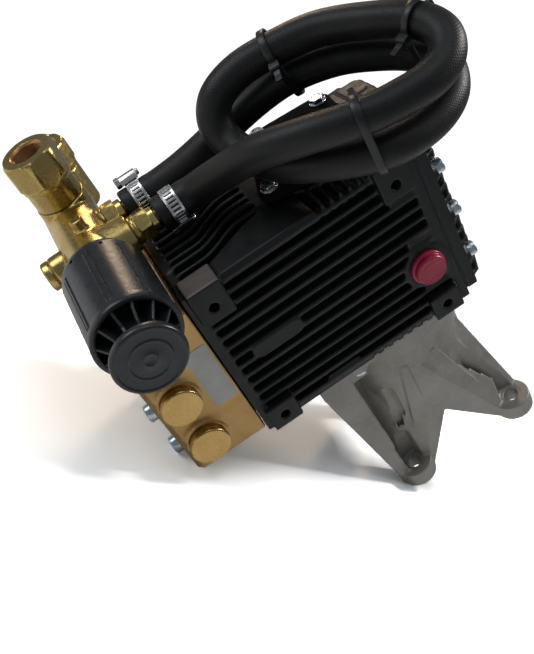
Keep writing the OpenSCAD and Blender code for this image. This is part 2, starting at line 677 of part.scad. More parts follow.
module hose_barbs() color([0.8,0.64,0.28])
  for (i=[0,1]) translate([barb_dx[i],barb_y[i],unloader_z]) rotate([0,90,0]) difference() {
    union() {
      translate([0,0,-129]) cylinder(r=6.55, h=11);
      translate([0,0,-119]) cylinder(r=11, h=9, $fn=6);
      translate([0,0,-110]) cylinder(r=8, h=4);
      translate([0,0,-106]) cylinder(r=5.4, h=15);
      for (j=[0:2]) translate([0,0,-104+j*4.4]) cylinder(r1=6.1, r2=5.4, h=3.6);
    }
    translate([0,0,-130]) cylinder(r=4, h=60);
  }

// ---------- hose ----------
// x, y, z of the hose centre line, from one barb to the other
hose_stations = [
  [-105,-3,300], [-96,-3,300], [-87,-3,300], [-76,-6,301.5], [-62,-18,309],
  [-39,-43,323], [-14,-62,327], [18,-76,325], [45,-78,322], [64,-78,322],
  [79,-72,325], [86,-60,331], [81,-44,337], [66,-26,341], [38,0,344],
  [8,11,344], [-15,16,342], [-34,15,336], [-43,12,324], [-43,4,312],
  [-37,-13,304], [-26,-38,302.5], [-3,-62,300.5], [26,-77,297], [56,-74,294],
  [78,-62,296], [88,-42,302], [79,-25,308], [62,-10,314], [41,5,318],
  [15,17,318.5], [-6,27,313], [-30,32,306.5], [-52,30,302.5], [-74,27,300.6],
  [-92,26,300], [-101,26,300], [-110,26,300], [-119,26,300]];
hose_steps = 2; // path points per station
hose_last = len(hose_stations) - 1;
// stations with one more extrapolated at each end
hose_guide = concat(
  [2*hose_stations[0]-hose_stations[1]],
  hose_stations,
  [2*hose_stations[hose_last]-hose_stations[hose_last-1]]);
// Catmull-Rom curve between b and c
function spline(a, b, c, d, t) =
  0.5*((2*b)+(c-a)*t+(2*a-5*b+4*c-d)*t*t+(3*b-a-3*c+d)*t*t*t);
hose_path = [
  for (i=[0:hose_last-1], j=[0:hose_steps-1])
    spline(hose_guide[i], hose_guide[i+1], hose_guide[i+2], hose_guide[i+3], j/hose_steps),
  hose_stations[hose_last]];

function unit(v) = v/norm(v);
function square_to(v, axis) = unit(v-(v*axis)*axis);
function tangent(path, i) =
  i==0 ? [1,0,0] : i==len(path)-1 ? [-1,0,0] : unit(path[i+1]-path[i-1]);
// two cross directions at each path point, carried along without twist
function frames(path, i=0, normal=[0,0,1], found=[]) = i==len(path) ? found :
  let(along=tangent(path,i), up=square_to(normal, along))
  frames(path, i+1, up, concat(found, [[up, cross(along,up)]]));
module tube_solid(path, r, sides) {
  frame = frames(path);
  last = len(path)-1;
  points = [for (i=[0:last], j=[0:sides-1]) let(a=360*j/sides)
    path[i]+r*(cos(a)*frame[i][0]+sin(a)*frame[i][1])];
  start_cap = [for (j=[0:sides-1]) j];
  end_cap = [for (j=[sides-1:-1:0]) last*sides+j];
  walls = [for (i=[0:last-1], j=[0:sides-1]) let(next=(j+1)%sides)
    [(i+1)*sides+j, (i+1)*sides+next, i*sides+next, i*sides+j]];
  polyhedron(points=points, faces=concat([start_cap], [end_cap], walls), convexity=10);
}
module bypass_hose() color([0.09,0.085,0.08]) {
  last = len(hose_path)-1;
  // the bore runs past both ends, which face -X
  bore_path = [for (i=[0:last]) i==0 || i==last ? hose_path[i]-[2,0,0] : hose_path[i]];
  difference() {
    tube_solid(hose_path, hose_od/2, 14);
    tube_solid(bore_path, hose_id/2/cos(180/10)+0.02, 10);
  }
}
module hose_clamp(x, y, turn) translate([x-97.5, y, unloader_z]) rotate([turn,0,0]) {
  hose_r = hose_od/2;
  rotate([0,90,0]) ring(hose_r+0.5, hose_r+1.5, 9);
  // screw housing
  difference() {
    box([-1.5, -5, hose_r+1.2], [12, 10, 7]);
    bar_x(-3, 13, 0, hose_r+5, 2.6);
  }
  translate([-3.6,0,hose_r+5]) rotate([0,90,0]) {
    cylinder(r=2.5, h=14);
    translate([0,0,-2.4]) cylinder(r=4, h=3, $fn=6);
  }
}
module hose_clamps() color([0.8,0.81,0.82])
  for (i=[0,1]) hose_clamp(barb_dx[i], barb_y[i], [180,-35][i]);

module tie_outline(span, r) hull() {
  circle(r=r, $fn=40);
  translate([span,0]) circle(r=r, $fn=40);
}
module tie(first, second, normal) { // band around the two hose runs at first and second
  span = norm(second - first);
  ex = (second - first)/span;
  ez = square_to(normal, ex);
  ey = cross(ez, ex);
  multmatrix([for (i=[0:2]) [ex[i], ey[i], ez[i], first[i]], [0,0,0,1]]) {
    translate([0,0,-2.4]) linear_extrude(4.8) difference() {
      tie_outline(span, 14.3);
      tie_outline(span, 13.3);
    }
    // lock and tail
    box([-4, 14, -3.4], [7, 5, 6.8]);
    box([-2, 18.6, -2], [1.4, 9, 4]);
  }
}
module cable_ties() color([0.07,0.07,0.07]) {
  tie([8,11,344], [14.1,17.4,318.4], [-0.94,0.34,-0.07]);
  tie([81,-44.2,337], [86.8,-38.3,303.2], [-0.37,0.88,0.28]);
  tie([18,-75.8,325], [18.5,-74.1,298], [0.95,-0.3,-0.1]);
}

// ---------- front face ----------
module oil_plug() color([0.62,0.1,0.18])
  translate([filler_x, -side_y-0.4, filler_z]) rotate([90,0,0]) {
    translate([0,0,-12]) cylinder(r=8, h=12);
    chamfered(11, 7, 1);
    difference() {
      cylinder(r=12.4, h=2.6);
      translate([0,0,-1]) cylinder(r=10, h=1);
    }
  }
module label_plate() color([0.85,0.84,0.82])
  box([-142, -side_y+0.7, mid_z-21.5], [16.5, 0.3, 50]);

crankcase();
rear_cover();
rear_cover_gasket();
rear_cover_screws();
sight_glass();
side_cover();
side_cover_screws();
engine_flange();
flange_screws();
bearing_outer_races();
drive_oil_seal();
crankshaft();
bearing_inner_races();
bearing_balls();
rod(0);  // connecting_rod_1
rod(1);  // connecting_rod_2
rod(2);  // connecting_rod_3
wrist_pin(0);  // wrist_pin_1
wrist_pin(1);  // wrist_pin_2
wrist_pin(2);  // wrist_pin_3
crosshead(0);  // crosshead_1
crosshead(1);  // crosshead_2
crosshead(2);  // crosshead_3
plunger(0);  // plunger_1
plunger(1);  // plunger_2
plunger(2);  // plunger_3
plunger_oil_seals();
water_seals();
seal_retainers();
manifold_head();
head_bolts();
head_bolt_washers();
valve_caps();
valve_cap_orings();
valve_seats();
valve_cages();
valve_springs();
valve_poppet(0);  // valve_poppet_1
valve_poppet(1);  // valve_poppet_2
valve_poppet(2);  // valve_poppet_3
valve_poppet(3);  // valve_poppet_4
valve_poppet(4);  // valve_poppet_5
valve_poppet(5);  // valve_poppet_6
gallery_plugs();
unloader_body();
inlet_port_tube();
outlet_port_tube();
unloader_plug();
unloader_piston();
unloader_spring();
spring_disc();
adjusting_knob();
knob_cap();
hose_barbs();
bypass_hose();
hose_clamps();
cable_ties();
oil_plug();
label_plate();
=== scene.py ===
"""Three-plunger pressure pump: detailed skins and finishes over its CAD pieces.

Frame: metres, +Z up. The plungers are stacked along Z and work along X. The brass
manifold head is at the -X end, the rear cover at +X, the side cover on top (+Z) and
the engine flange below (-Z). The valve caps face -Y and +Y, the adjusting knob -Y.
Sizes are in millimetres, and are turned into metres where vertices are made.
"""
import json
import math

import bmesh
import bpy
import numpy as np
from mathutils import Matrix, Vector

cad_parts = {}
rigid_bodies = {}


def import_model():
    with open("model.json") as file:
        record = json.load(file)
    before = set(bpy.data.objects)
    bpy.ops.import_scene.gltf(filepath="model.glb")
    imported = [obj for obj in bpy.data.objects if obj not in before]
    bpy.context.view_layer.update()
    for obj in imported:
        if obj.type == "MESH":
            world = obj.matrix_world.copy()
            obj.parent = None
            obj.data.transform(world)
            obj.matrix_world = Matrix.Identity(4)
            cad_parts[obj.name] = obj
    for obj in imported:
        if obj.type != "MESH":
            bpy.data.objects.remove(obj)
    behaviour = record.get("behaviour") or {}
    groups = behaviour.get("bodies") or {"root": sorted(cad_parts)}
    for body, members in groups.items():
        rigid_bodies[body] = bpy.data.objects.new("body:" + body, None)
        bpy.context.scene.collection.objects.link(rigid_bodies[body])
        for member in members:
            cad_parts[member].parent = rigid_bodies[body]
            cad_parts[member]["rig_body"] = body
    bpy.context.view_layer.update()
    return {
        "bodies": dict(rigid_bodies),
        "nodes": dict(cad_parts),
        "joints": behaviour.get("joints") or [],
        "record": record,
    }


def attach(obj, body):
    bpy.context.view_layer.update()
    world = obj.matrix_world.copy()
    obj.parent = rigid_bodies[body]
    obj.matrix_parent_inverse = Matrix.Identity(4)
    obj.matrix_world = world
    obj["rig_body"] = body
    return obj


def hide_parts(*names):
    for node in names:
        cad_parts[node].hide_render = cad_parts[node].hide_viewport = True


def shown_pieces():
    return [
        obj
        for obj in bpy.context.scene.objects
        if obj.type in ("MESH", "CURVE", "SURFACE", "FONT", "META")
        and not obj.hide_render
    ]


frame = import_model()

CAD = frame["nodes"]

MM = 0.001
TAU = 2 * math.pi

# places shared by several pieces, mm
PLUNGER_PITCH = 41
PLUNGER_MIDDLE_Z = 213
UNLOADER_X, UNLOADER_Y, UNLOADER_Z = -152, -12, 300
BARBS = ((0, -3), (-14, 26))    # the two hose nipples: shift along X, y
HOSE_END_Z = 300                # height of both nipples


# ------------------------------------------------------------------ node helpers
class Nodes:
    """A node tree and the few ways of adding to it."""

    def __init__(self, tree):
        self.tree = tree
        tree.nodes.clear()

    def feed(self, socket, value):
        """Give an input a link, a colour, a vector or a number."""
        if isinstance(value, bpy.types.NodeSocket):
            self.tree.links.new(value, socket)
        elif socket.type == "RGBA":
            socket.default_value = (*value, 1)
        else:
            socket.default_value = value

    def node(self, kind, inputs=None, **settings):
        node = self.tree.nodes.new(kind)
        for name, value in settings.items():
            setattr(node, name, value)
        for key, value in (inputs or {}).items():
            self.feed(node.inputs[key], value)
        return node

    def mix_shader(self, fac, first, second):
        return self.node("ShaderNodeMixShader", {0: fac, 1: first, 2: second}).outputs[0]


class Shader(Nodes):
    """A material; methods that add nodes return the output socket."""

    INPUTS = {"color": "Base Color", "rough": "Roughness", "metal": "Metallic",
              "spec": "Specular IOR Level", "sheen": "Sheen Weight",
              "sheen_rough": "Sheen Roughness", "transmission": "Transmission Weight",
              "ior": "IOR"}

    def __init__(self, name):
        self.material = bpy.data.materials.new(name)
        self.material.use_nodes = True
        super().__init__(self.material.node_tree)
        self.output = self.node("ShaderNodeOutputMaterial")
        self.surface = self.node("ShaderNodeBsdfPrincipled")
        self.feed(self.output.inputs[0], self.surface.outputs[0])
        self.position = self.node("ShaderNodeTexCoord").outputs["Object"]
        self.normal = None

    def noise(self, scale, detail=3, roughness=0.6, distortion=0.0, stretch=None):
        vector = self.position
        if stretch:
            mapping = self.node("ShaderNodeMapping", {"Scale": stretch, "Vector": vector})
            vector = mapping.outputs[0]
        return self.node("ShaderNodeTexNoise", {
            "Scale": scale, "Detail": detail, "Roughness": roughness,
            "Distortion": distortion, "Vector": vector}).outputs["Fac"]

    def voronoi(self, scale):
        inputs = {"Scale": scale, "Vector": self.position}
        return self.node("ShaderNodeTexVoronoi", inputs, feature="F1").outputs["Distance"]

    def ramp(self, fac, start, end, first=0, last=1):
        """Grey ramp from `first` at `start` to `last` at `end`."""
        node = self.node("ShaderNodeValToRGB", {0: fac})
        stops = ((start, first), (end, last))
        for element, (position, grey) in zip(node.color_ramp.elements, stops):
            element.position = position
            element.color = (grey, grey, grey, 1)
        return node.outputs[0]

    def rescale(self, value, low, high, start=0.3, end=0.7):
        """Map start..end to low..high; the defaults suit a noise value."""
        inputs = {0: value, 1: start, 2: end, 3: low, 4: high}
        return self.node("ShaderNodeMapRange", inputs).outputs[0]

    def math(self, operation, *values):
        inputs = dict(enumerate(values))
        return self.node("ShaderNodeMath", inputs, operation=operation).outputs[0]

    def mix(self, fac, first, second):
        inputs = {0: fac, 6: first, 7: second}
        return self.node("ShaderNodeMix", inputs, data_type="RGBA").outputs[2]

    def mottle(self, fac, first, second, start=0.3, end=0.7):
        """Two colours in patches."""
        return self.mix(self.ramp(fac, start, end), first, second)

    def tint(self, color, mask, amount, other):
        """Lay `other` over `color` where the mask is set."""
        return self.mix(self.math("MULTIPLY", mask, amount), color, other)

    def edge(self, radius, end=0.3):
        """1 at edges, where the bevelled normal leaves the true one; radius in mm."""
        bevel = self.node("ShaderNodeBevel", {"Radius": radius * MM}, samples=6)
        true = self.node("ShaderNodeNewGeometry").outputs["Normal"]
        dot = self.node("ShaderNodeVectorMath", {0: bevel.outputs[0], 1: true},
                        operation="DOT_PRODUCT")
        away = self.math("SUBTRACT", 1.0, dot.outputs["Value"])
        return self.rescale(away, 0, 1, start=0.03, end=end)

    def bevel(self, radius):
        """Round the shaded edges; comes before any bump. Radius in mm."""
        node = self.node("ShaderNodeBevel", {"Radius": radius * MM}, samples=5)
        self.normal = node.outputs[0]

    def bump(self, height, depth, strength):
        """Add a bump, depth in mm, on top of the earlier ones."""
        inputs = {"Height": height, "Distance": depth * MM, "Strength": strength}
        if self.normal is not None:
            inputs["Normal"] = self.normal
        self.normal = self.node("ShaderNodeBump", inputs).outputs[0]
        self.feed(self.surface.inputs["Normal"], self.normal)

    def finish(self, **values):
        for name, value in values.items():
            self.feed(self.surface.inputs[self.INPUTS[name]], value)


# ------------------------------------------------------------------ finishes
def cast_black(m, worn, spec=0.36, rough=(0.36, 0.50)):
    """Black coated casting, scuffed at the edges and flecked with dust."""
    color = m.mottle(m.noise(scale=35), (0.0045, 0.0052, 0.0052), (0.0095, 0.0102, 0.0102),
                     end=0.75)
    patches = m.ramp(m.noise(scale=160, detail=5, roughness=0.7), start=0.47, end=0.62)
    scuffs = m.math("MULTIPLY", m.edge(radius=0.9, end=0.35), patches)
    color = m.tint(color, scuffs, worn, (0.075, 0.07, 0.064))
    dust = m.ramp(m.noise(scale=900, detail=2, roughness=0.5), start=0.70, end=0.78)
    color = m.tint(color, dust, 0.35, (0.05, 0.046, 0.042))
    m.finish(color=color, rough=m.rescale(m.noise(scale=120, detail=4), *rough),
             metal=0.0, spec=spec)
    m.bump(m.voronoi(scale=1500), depth=0.12, strength=0.45)
    m.bump(m.noise(scale=1700), depth=0.08, strength=0.5)


def cast_grey(m):
    """Bare pitted casting, brighter at the edges."""
    blotches = m.noise(scale=26, detail=4)
    grain = m.noise(scale=210, detail=4, roughness=0.65)
    color = m.mottle(blotches, (0.265, 0.245, 0.215), (0.36, 0.34, 0.31))
    color = m.tint(color, m.ramp(grain, start=0.5, end=0.75), 0.4, (0.45, 0.43, 0.4))
    pits = m.ramp(m.voronoi(scale=700), start=0.0, end=0.16, first=1, last=0)
    color = m.tint(color, pits, 0.4, (0.1, 0.09, 0.08))
    color = m.tint(color, m.edge(radius=1.0), 0.55, (0.62, 0.6, 0.57))
    m.finish(color=color, rough=m.rescale(grain, 0.42, 0.6), metal=0.55, spec=0.4)
    m.bump(grain, depth=0.35, strength=0.25)
    m.bump(m.noise(scale=2200, detail=2), depth=0.10, strength=0.45)
    m.bump(pits, depth=0.1, strength=0.2)


def brass(m, dark, light, rough, edge=(0.95, 0.78, 0.48), cast=0.0, bevel=0.0):
    """Stained, scratched brass; `cast` is the strength of a forged skin."""
    color = m.mottle(m.noise(scale=40, detail=4), dark, light)
    stain = m.ramp(m.noise(scale=75, detail=6, roughness=0.7, distortion=0.6),
                   start=0.52, end=0.72)
    color = m.tint(color, stain, 0.28, tuple(c * 0.6 for c in dark))
    color = m.tint(color, m.edge(radius=0.7), 0.5, edge)
    m.finish(color=color, rough=m.rescale(m.noise(scale=330), *rough), metal=1.0)
    if bevel:
        m.bevel(bevel)
    scratches = m.noise(scale=60, detail=6, roughness=0.7, stretch=(1, 14, 14))
    m.bump(scratches, depth=0.05, strength=0.2)
    m.bump(m.noise(scale=1500), depth=0.05, strength=0.35)
    if cast:
        m.bump(m.noise(scale=420, detail=4), depth=0.25, strength=cast)


def steel(m, shade, rough, grain=500, stretch=(1, 1, 1), blue=0.0):
    """Steel; `stretch` draws the grain out along X, `blue` adds plating patches."""
    brushed = m.noise(scale=grain, detail=4, stretch=stretch)
    color = m.mottle(m.noise(scale=60), shade, tuple(min(1, c * 1.25) for c in shade))
    if blue:
        plating = m.ramp(m.noise(scale=140), start=0.45, end=0.6)
        color = m.tint(color, plating, blue, (0.45, 0.56, 0.68))
    m.finish(color=color, rough=m.rescale(brushed, *rough), metal=1.0)
    m.bevel(0.35)
    m.bump(brushed, depth=0.03, strength=0.3)


def alloy(m, dark, light, scale, rough, depth, strength, detail=3, bevel=0.0):
    """Plain metal whose colour, roughness and bump follow one noise."""
    grain = m.noise(scale=scale, detail=detail)
    m.finish(color=m.mottle(grain, dark, light), rough=m.rescale(grain, *rough), metal=1.0)
    if bevel:
        m.bevel(bevel)
    m.bump(grain, depth=depth, strength=strength)


def rubber(m, shade=(0.012, 0.012, 0.013)):
    grain = m.noise(scale=800, detail=4)
    color = m.mottle(m.noise(scale=50), shade, tuple(c * 1.9 for c in shade))
    m.finish(color=color, rough=m.rescale(grain, 0.5, 0.68), spec=0.4)
    m.bevel(0.3)
    m.bump(grain, depth=0.06, strength=0.4)


def hose_rubber(m):
    """Cloth-wrapped rubber. The UV map runs u along the hose in metres, v round it 0..1."""
    weave_pitch, weave_starts, tape_pitch = 0.0016, 24, 0.021
    uv = m.node("ShaderNodeUVMap", uv_map="along").outputs[0]
    along, around = m.node("ShaderNodeSeparateXYZ", {0: uv}).outputs[:2]

    def helix(operation, pitch, starts):
        return m.math("SINE", m.math(operation, m.math("MULTIPLY", along, TAU / pitch),
                                     m.math("MULTIPLY", around, TAU * starts)))

    # impression of the cloth: fine crossing helices
    crossed = m.math("ADD", helix("ADD", weave_pitch, weave_starts),
                     helix("SUBTRACT", weave_pitch, weave_starts))
    weave = m.math("MULTIPLY", crossed, 0.25)
    # slow spiral of the wrapping tape
    tape = helix("ADD", tape_pitch, 1)
    flecks = m.noise(scale=520, detail=4, roughness=0.7)
    color = m.mottle(m.noise(scale=45), (0.0042, 0.0042, 0.0040), (0.0085, 0.0080, 0.0074))
    color = m.tint(color, m.ramp(flecks, start=0.55, end=0.75), 0.55, (0.030, 0.024, 0.020))
    color = m.tint(color, m.ramp(weave, start=0.45, end=0.85), 0.45, (0.040, 0.031, 0.025))
    m.finish(color=color, rough=m.rescale(flecks, 0.38, 0.54), spec=0.40,
             sheen=0.03, sheen_rough=0.4)
    m.bump(tape, depth=0.10, strength=0.12)
    m.bump(weave, depth=0.16, strength=0.5)
    m.bump(m.noise(scale=1500), depth=0.06, strength=0.4)


def plastic(m, dark, light, rough, grain, scale=1300, edge=None):
    """Smooth non-metal; `grain` is the strength of its fine bump."""
    color = m.mottle(m.noise(scale=60, detail=4), dark, light)
    if edge:
        color = m.tint(color, m.edge(radius=0.6), 0.5, edge)
    m.finish(color=color, rough=m.rescale(m.noise(scale=240, detail=4), *rough))
    m.bump(m.noise(scale=scale), depth=0.04, strength=grain)


def label(m):
    grain = m.noise(scale=700)
    color = m.mottle(m.noise(scale=80), (0.37, 0.355, 0.34), (0.43, 0.42, 0.405))
    m.finish(color=color, rough=m.rescale(grain, 0.3, 0.45), metal=0.25)
    m.bump(grain, depth=0.03, strength=0.3)


def sight(m):
    """Clear amber window."""
    color = m.mottle(m.noise(scale=300), (0.85, 0.6, 0.2), (0.9, 0.7, 0.3))
    m.finish(color=color, rough=0.08, transmission=0.85, ior=1.49)


def floor_paper(m):
    """White floor: paper for bounced light, over-white to the camera, clear from below."""
    gain = 2.5                      # diffuse colour the camera sees
    glow = 1.1                      # emission it fades into away from the pump
    fade_start, fade_end = 0.22, 0.38
    fade_centre = (-0.05, 0.0, 0.12)
    grain = m.noise(scale=500)
    m.finish(color=m.mottle(grain, (0.93, 0.93, 0.935), (0.955, 0.955, 0.955)),
             rough=0.75, spec=0.15)
    m.bump(grain, depth=0.02, strength=0.15)
    geometry = m.node("ShaderNodeNewGeometry").outputs
    clear = m.node("ShaderNodeBsdfTransparent").outputs[0]
    bright = m.mottle(grain, (gain,) * 3, (gain * 1.02,) * 3)
    diffuse = m.node("ShaderNodeBsdfDiffuse", {0: bright}).outputs[0]
    emission = m.node("ShaderNodeEmission", {0: (1, 1, 1), 1: glow}).outputs[0]
    distance = m.node("ShaderNodeVectorMath", {0: geometry["Position"], 1: fade_centre},
                      operation="DISTANCE").outputs["Value"]
    fade = m.rescale(distance, 0.0, 1.0, start=fade_start, end=fade_end)
    seen = m.mix_shader(fade, diffuse, emission)
    camera_ray = m.node("ShaderNodeLightPath").outputs["Is Camera Ray"]
    face = m.mix_shader(camera_ray, m.surface.outputs[0], seen)
    m.feed(m.output.inputs[0], m.mix_shader(geometry["Backfacing"], face, clear))


# material name: builder and its settings
FINISHES = {
    "cast_black": (cast_black, dict(worn=0.5)),
    "cast_black_dull": (cast_black, dict(worn=0.25, spec=0.05, rough=(0.72, 0.86))),
    "cast_black_cover": (cast_black, dict(worn=0.4)),
    # machined top patch: its brown tone is partly the face's own finish and partly a painted warm
    # highlight
    "case_machined_lit": (plastic, dict(
        dark=(0.085, 0.066, 0.055), light=(0.15, 0.118, 0.10), rough=(0.35, 0.5),
        grain=0.4, scale=900)),
    "cast_grey": (cast_grey, {}),
    "brass_head": (brass, dict(
        dark=(0.395, 0.245, 0.095), light=(0.50, 0.325, 0.135), rough=(0.26, 0.43),
        cast=0.25)),
    "brass_cap": (brass, dict(
        dark=(0.55, 0.345, 0.12), light=(0.66, 0.435, 0.165), rough=(0.22, 0.34),
        bevel=0.4)),
    "brass_olive": (brass, dict(
        dark=(0.50, 0.355, 0.120), light=(0.64, 0.47, 0.180), rough=(0.20, 0.34),
        cast=0.30, edge=(0.90, 0.72, 0.38))),
    "brass_bright": (brass, dict(
        dark=(0.72, 0.5, 0.16), light=(0.82, 0.6, 0.22), rough=(0.16, 0.28),
        edge=(1, 0.85, 0.5), bevel=0.4)),
    "thread_root": (alloy, dict(
        dark=(0.42, 0.19, 0.08), light=(0.62, 0.33, 0.15), scale=400, rough=(0.3, 0.45),
        depth=0.05, strength=0.3)),
    "conrod_alloy": (alloy, dict(
        dark=(0.5, 0.49, 0.46), light=(0.62, 0.61, 0.58), scale=600, detail=4,
        rough=(0.35, 0.5), depth=0.08, strength=0.4, bevel=0.4)),
    "zinc": (steel, dict(shade=(0.56, 0.6, 0.64), rough=(0.18, 0.34), blue=0.35)),
    "steel": (steel, dict(shade=(0.5, 0.5, 0.51), rough=(0.2, 0.35))),
    "stainless": (steel, dict(
        shade=(0.62, 0.61, 0.6), rough=(0.2, 0.34), grain=90, stretch=(1, 12, 12))),
    "slot_dark": (rubber, dict(shade=(0.02, 0.02, 0.022))),
    "rubber": (rubber, {}),
    "hose": (hose_rubber, {}),
    "knob": (plastic, dict(
        dark=(0.017, 0.019, 0.022), light=(0.026, 0.029, 0.033), rough=(0.25, 0.34),
        grain=0.35, edge=(0.07, 0.072, 0.076))),
    "tie": (plastic, dict(
        dark=(0.008, 0.008, 0.009), light=(0.014, 0.014, 0.015), rough=(0.3, 0.45),
        grain=0.2)),
    "red": (plastic, dict(
        dark=(0.33, 0.012, 0.045), light=(0.42, 0.018, 0.06), rough=(0.24, 0.36),
        grain=0.3)),
    "gasket": (plastic, dict(
        dark=(0.02, 0.022, 0.026), light=(0.04, 0.042, 0.046), rough=(0.7, 0.85),
        grain=0.6)),
    "ceramic": (plastic, dict(
        dark=(0.78, 0.76, 0.7), light=(0.85, 0.83, 0.78), rough=(0.08, 0.16), grain=0.05)),
    "white": (plastic, dict(
        dark=(0.62, 0.61, 0.57), light=(0.7, 0.69, 0.65), rough=(0.35, 0.5), grain=0.2)),
    "label": (label, {}),
    "sight": (sight, {}),
    "floor_paper": (floor_paper, {}),
}
made = {}


def material(name):
    if name not in made:
        builder, settings = FINISHES[name]
        shader = Shader(name)
        builder(shader, **settings)
        made[name] = shader.material
    return made[name]


# ------------------------------------------------------------------ mesh helpers
def mark_sharp(mesh, angle):
    """Smooth shading, with edges bent by more than `angle` degrees kept sharp."""
    bm = bmesh.new()
    bm.from_mesh(mesh)
    limit = math.radians(angle)
    for edge in bm.edges:
        edge.smooth = not (len(edge.link_faces) == 2 and edge.calc_face_angle(0) > limit)
    for face in bm.faces:
        face.smooth = True
    bm.to_mesh(mesh)
    bm.free()


def make_skin(name, bm, finish, node, body="pump_body", sharp=None):
    """Turn a bmesh into the object that stands for a CAD node."""
    bmesh.ops.recalc_face_normals(bm, faces=bm.faces)
    mesh = bpy.data.meshes.new(name)
    bm.to_mesh(mesh)
    bm.free()
    mesh.polygons.foreach_set("use_smooth", [True] * len(mesh.polygons))
    skin = bpy.data.objects.new(name, mesh)
    bpy.context.scene.collection.objects.link(skin)
    mesh.materials.append(material(finish))
    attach(skin, body)
    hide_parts(node)
    if sharp:
        mark_sharp(mesh, sharp)
    return skin


def paint_faces(mesh, finish, chosen):
    """Give the faces whose polygon passes `chosen` a second material."""
    mesh.materials.append(material(finish))
    for face in mesh.polygons:
        if chosen(face):
            face.material_index = len(mesh.materials) - 1


def place(x, y, z, facing=(0, 0, 1), turn=0.0):
    """Frame at a point in mm, local +Z facing a direction, turned about it (radians)."""
    swing = Vector((0, 0, 1)).rotation_difference(Vector(facing)).to_matrix().to_4x4()
    return Matrix.Translation(Vector((x, y, z)) * MM) @ swing @ Matrix.Rotation(turn, 4, "Z")


def round_profile(points, steps):
    """(r, z) points of a profile, with a curve at each one that has a third value, its fillet."""
    out = []
    for i, point in enumerate(points):
        if len(point) < 3:
            out.append(point)
            continue
        corner = Vector(point[:2])
        before = Vector(points[i - 1][:2]) - corner
        after = Vector(points[i + 1][:2]) - corner
        start = corner + before.normalized() * min(point[2], before.length * 0.49)
        end = corner + after.normalized() * min(point[2], after.length * 0.49)
        for k in range(steps + 1):
            t = k / steps
            curve = start * (1 - t) ** 2 + corner * 2 * t * (1 - t) + end * t * t
            out.append((curve.x, curve.y))
    return out


def skin_rings(bm, first, second):
    """Faces between two rings; a ring of one vertex is a pole."""
    count = max(len(first), len(second))
    for j in range(count):
        k = (j + 1) % count
        if len(first) == 1:
            bm.faces.new((first[0], second[j], second[k]))
        elif len(second) == 1:
            bm.faces.new((first[j], first[k], second[0]))
        else:
            bm.faces.new((first[j], first[k], second[k], second[j]))


def lathe(bm, profile, segments, frame, close=False):
    """Turn a profile of (r, z) in mm about local Z; r may be a function of the angle."""
    rings = []
    for r, z in profile:
        if not callable(r) and r < 1e-6:
            rings.append([bm.verts.new(frame @ Vector((0, 0, z * MM)))])
            continue
        ring = []
        for j in range(segments):
            a = TAU * j / segments
            radius = r(a) if callable(r) else r
            point = Vector((radius * math.cos(a) * MM, radius * math.sin(a) * MM, z * MM))
            ring.append(bm.verts.new(frame @ point))
        rings.append(ring)
    for first, second in zip(rings, rings[1:]):
        skin_rings(bm, first, second)
    if close:
        skin_rings(bm, rings[-1], rings[0])


def prism(bm, outline, z0, z1, frame, bevel):
    """Closed prism on an (x, y) outline in mm, with bevelled edges."""
    low, high = ([bm.verts.new(frame @ Vector((x * MM, y * MM, z * MM))) for x, y in outline]
                 for z in (z0, z1))
    faces = [bm.faces.new(low[::-1]), bm.faces.new(high)]
    count = len(outline)
    for i in range(count):
        k = (i + 1) % count
        faces.append(bm.faces.new((low[i], low[k], high[k], high[i])))
    edges = list({edge for face in faces for edge in face.edges})
    bmesh.ops.bevel(bm, geom=edges, offset=bevel * MM, segments=2, profile=0.7,
                    affect="EDGES", clamp_overlap=True)


def hexagon(half_flats, cap=math.inf):
    """Radius of a hexagon by angle, its corners turned down to `cap`."""
    def radius(a):
        return min(half_flats / math.cos((a % (math.pi / 3)) - math.pi / 6), cap)
    return radius


# ------------------------------------------------------------------ cast parts
# CAD node, skin, finish, slot, voxel mm, smoothing passes, smoothing factor
CASTINGS = (
    ("crankcase", "crankcase_casting", "cast_black", "cast_black", 0.95, 3, 0.5),
    ("rear_cover", "rear_cover_casting", "cast_black_cover", "cast_black", 1.0, 4, 0.5),
    ("side_cover", "side_cover_casting", "cast_black_dull", "cast_black", 0.9, 4, 0.5),
    ("engine_flange", "engine_flange_casting", "cast_grey", "cast_grey", 0.8, 2, 0.5),
    ("manifold_head", "manifold_head_forging", "brass_head", "brass_forged", 0.85, 4, 0.5),
    ("unloader_body", "unloader_forging", "brass_olive", "brass_olive", 0.75, 7, 0.55),
)


def make_casting(node, name, finish, slot, voxel, passes, factor):
    """A cast skin for a CAD node: the same solid with rounded edges."""
    source = CAD[node]
    skin = bpy.data.objects.new(name, source.data.copy())
    bpy.context.scene.collection.objects.link(skin)
    skin.modifiers.new("t", "TRIANGULATE")
    remesh = skin.modifiers.new("r", "REMESH")
    remesh.mode = "VOXEL"
    remesh.voxel_size = voxel * MM
    remesh.adaptivity = 0
    smooth = skin.modifiers.new("s", "SMOOTH")
    smooth.iterations = passes
    smooth.factor = factor
    depsgraph = bpy.context.evaluated_depsgraph_get()
    mesh = bpy.data.meshes.new_from_object(skin.evaluated_get(depsgraph))
    skin.modifiers.clear()
    skin.data = mesh
    mesh.materials.clear()
    mesh.materials.append(material(finish))
    mesh.polygons.foreach_set("use_smooth", [True] * len(mesh.polygons))
    mesh.update()
    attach(skin, source["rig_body"])
    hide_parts(node)
    return skin


def is_machined_lit_top(face):
    """The upward-facing machined patch of the crankcase at its -X, -Y corner; its brown tone is a
    painted warm highlight on that top face.
    """
    x, y, z = face.center / MM
    return face.normal.z > 0.8 and -119.8 < x < -96.2 and y < -46.3 and 280.0 < z < 281.5


def make_castings():
    skins = [make_casting(*row) for row in CASTINGS]
    # the machined top patch gets a brown tone that paints warm light falling on it
    paint_faces(skins[0].data, "case_machined_lit", is_machined_lit_top)


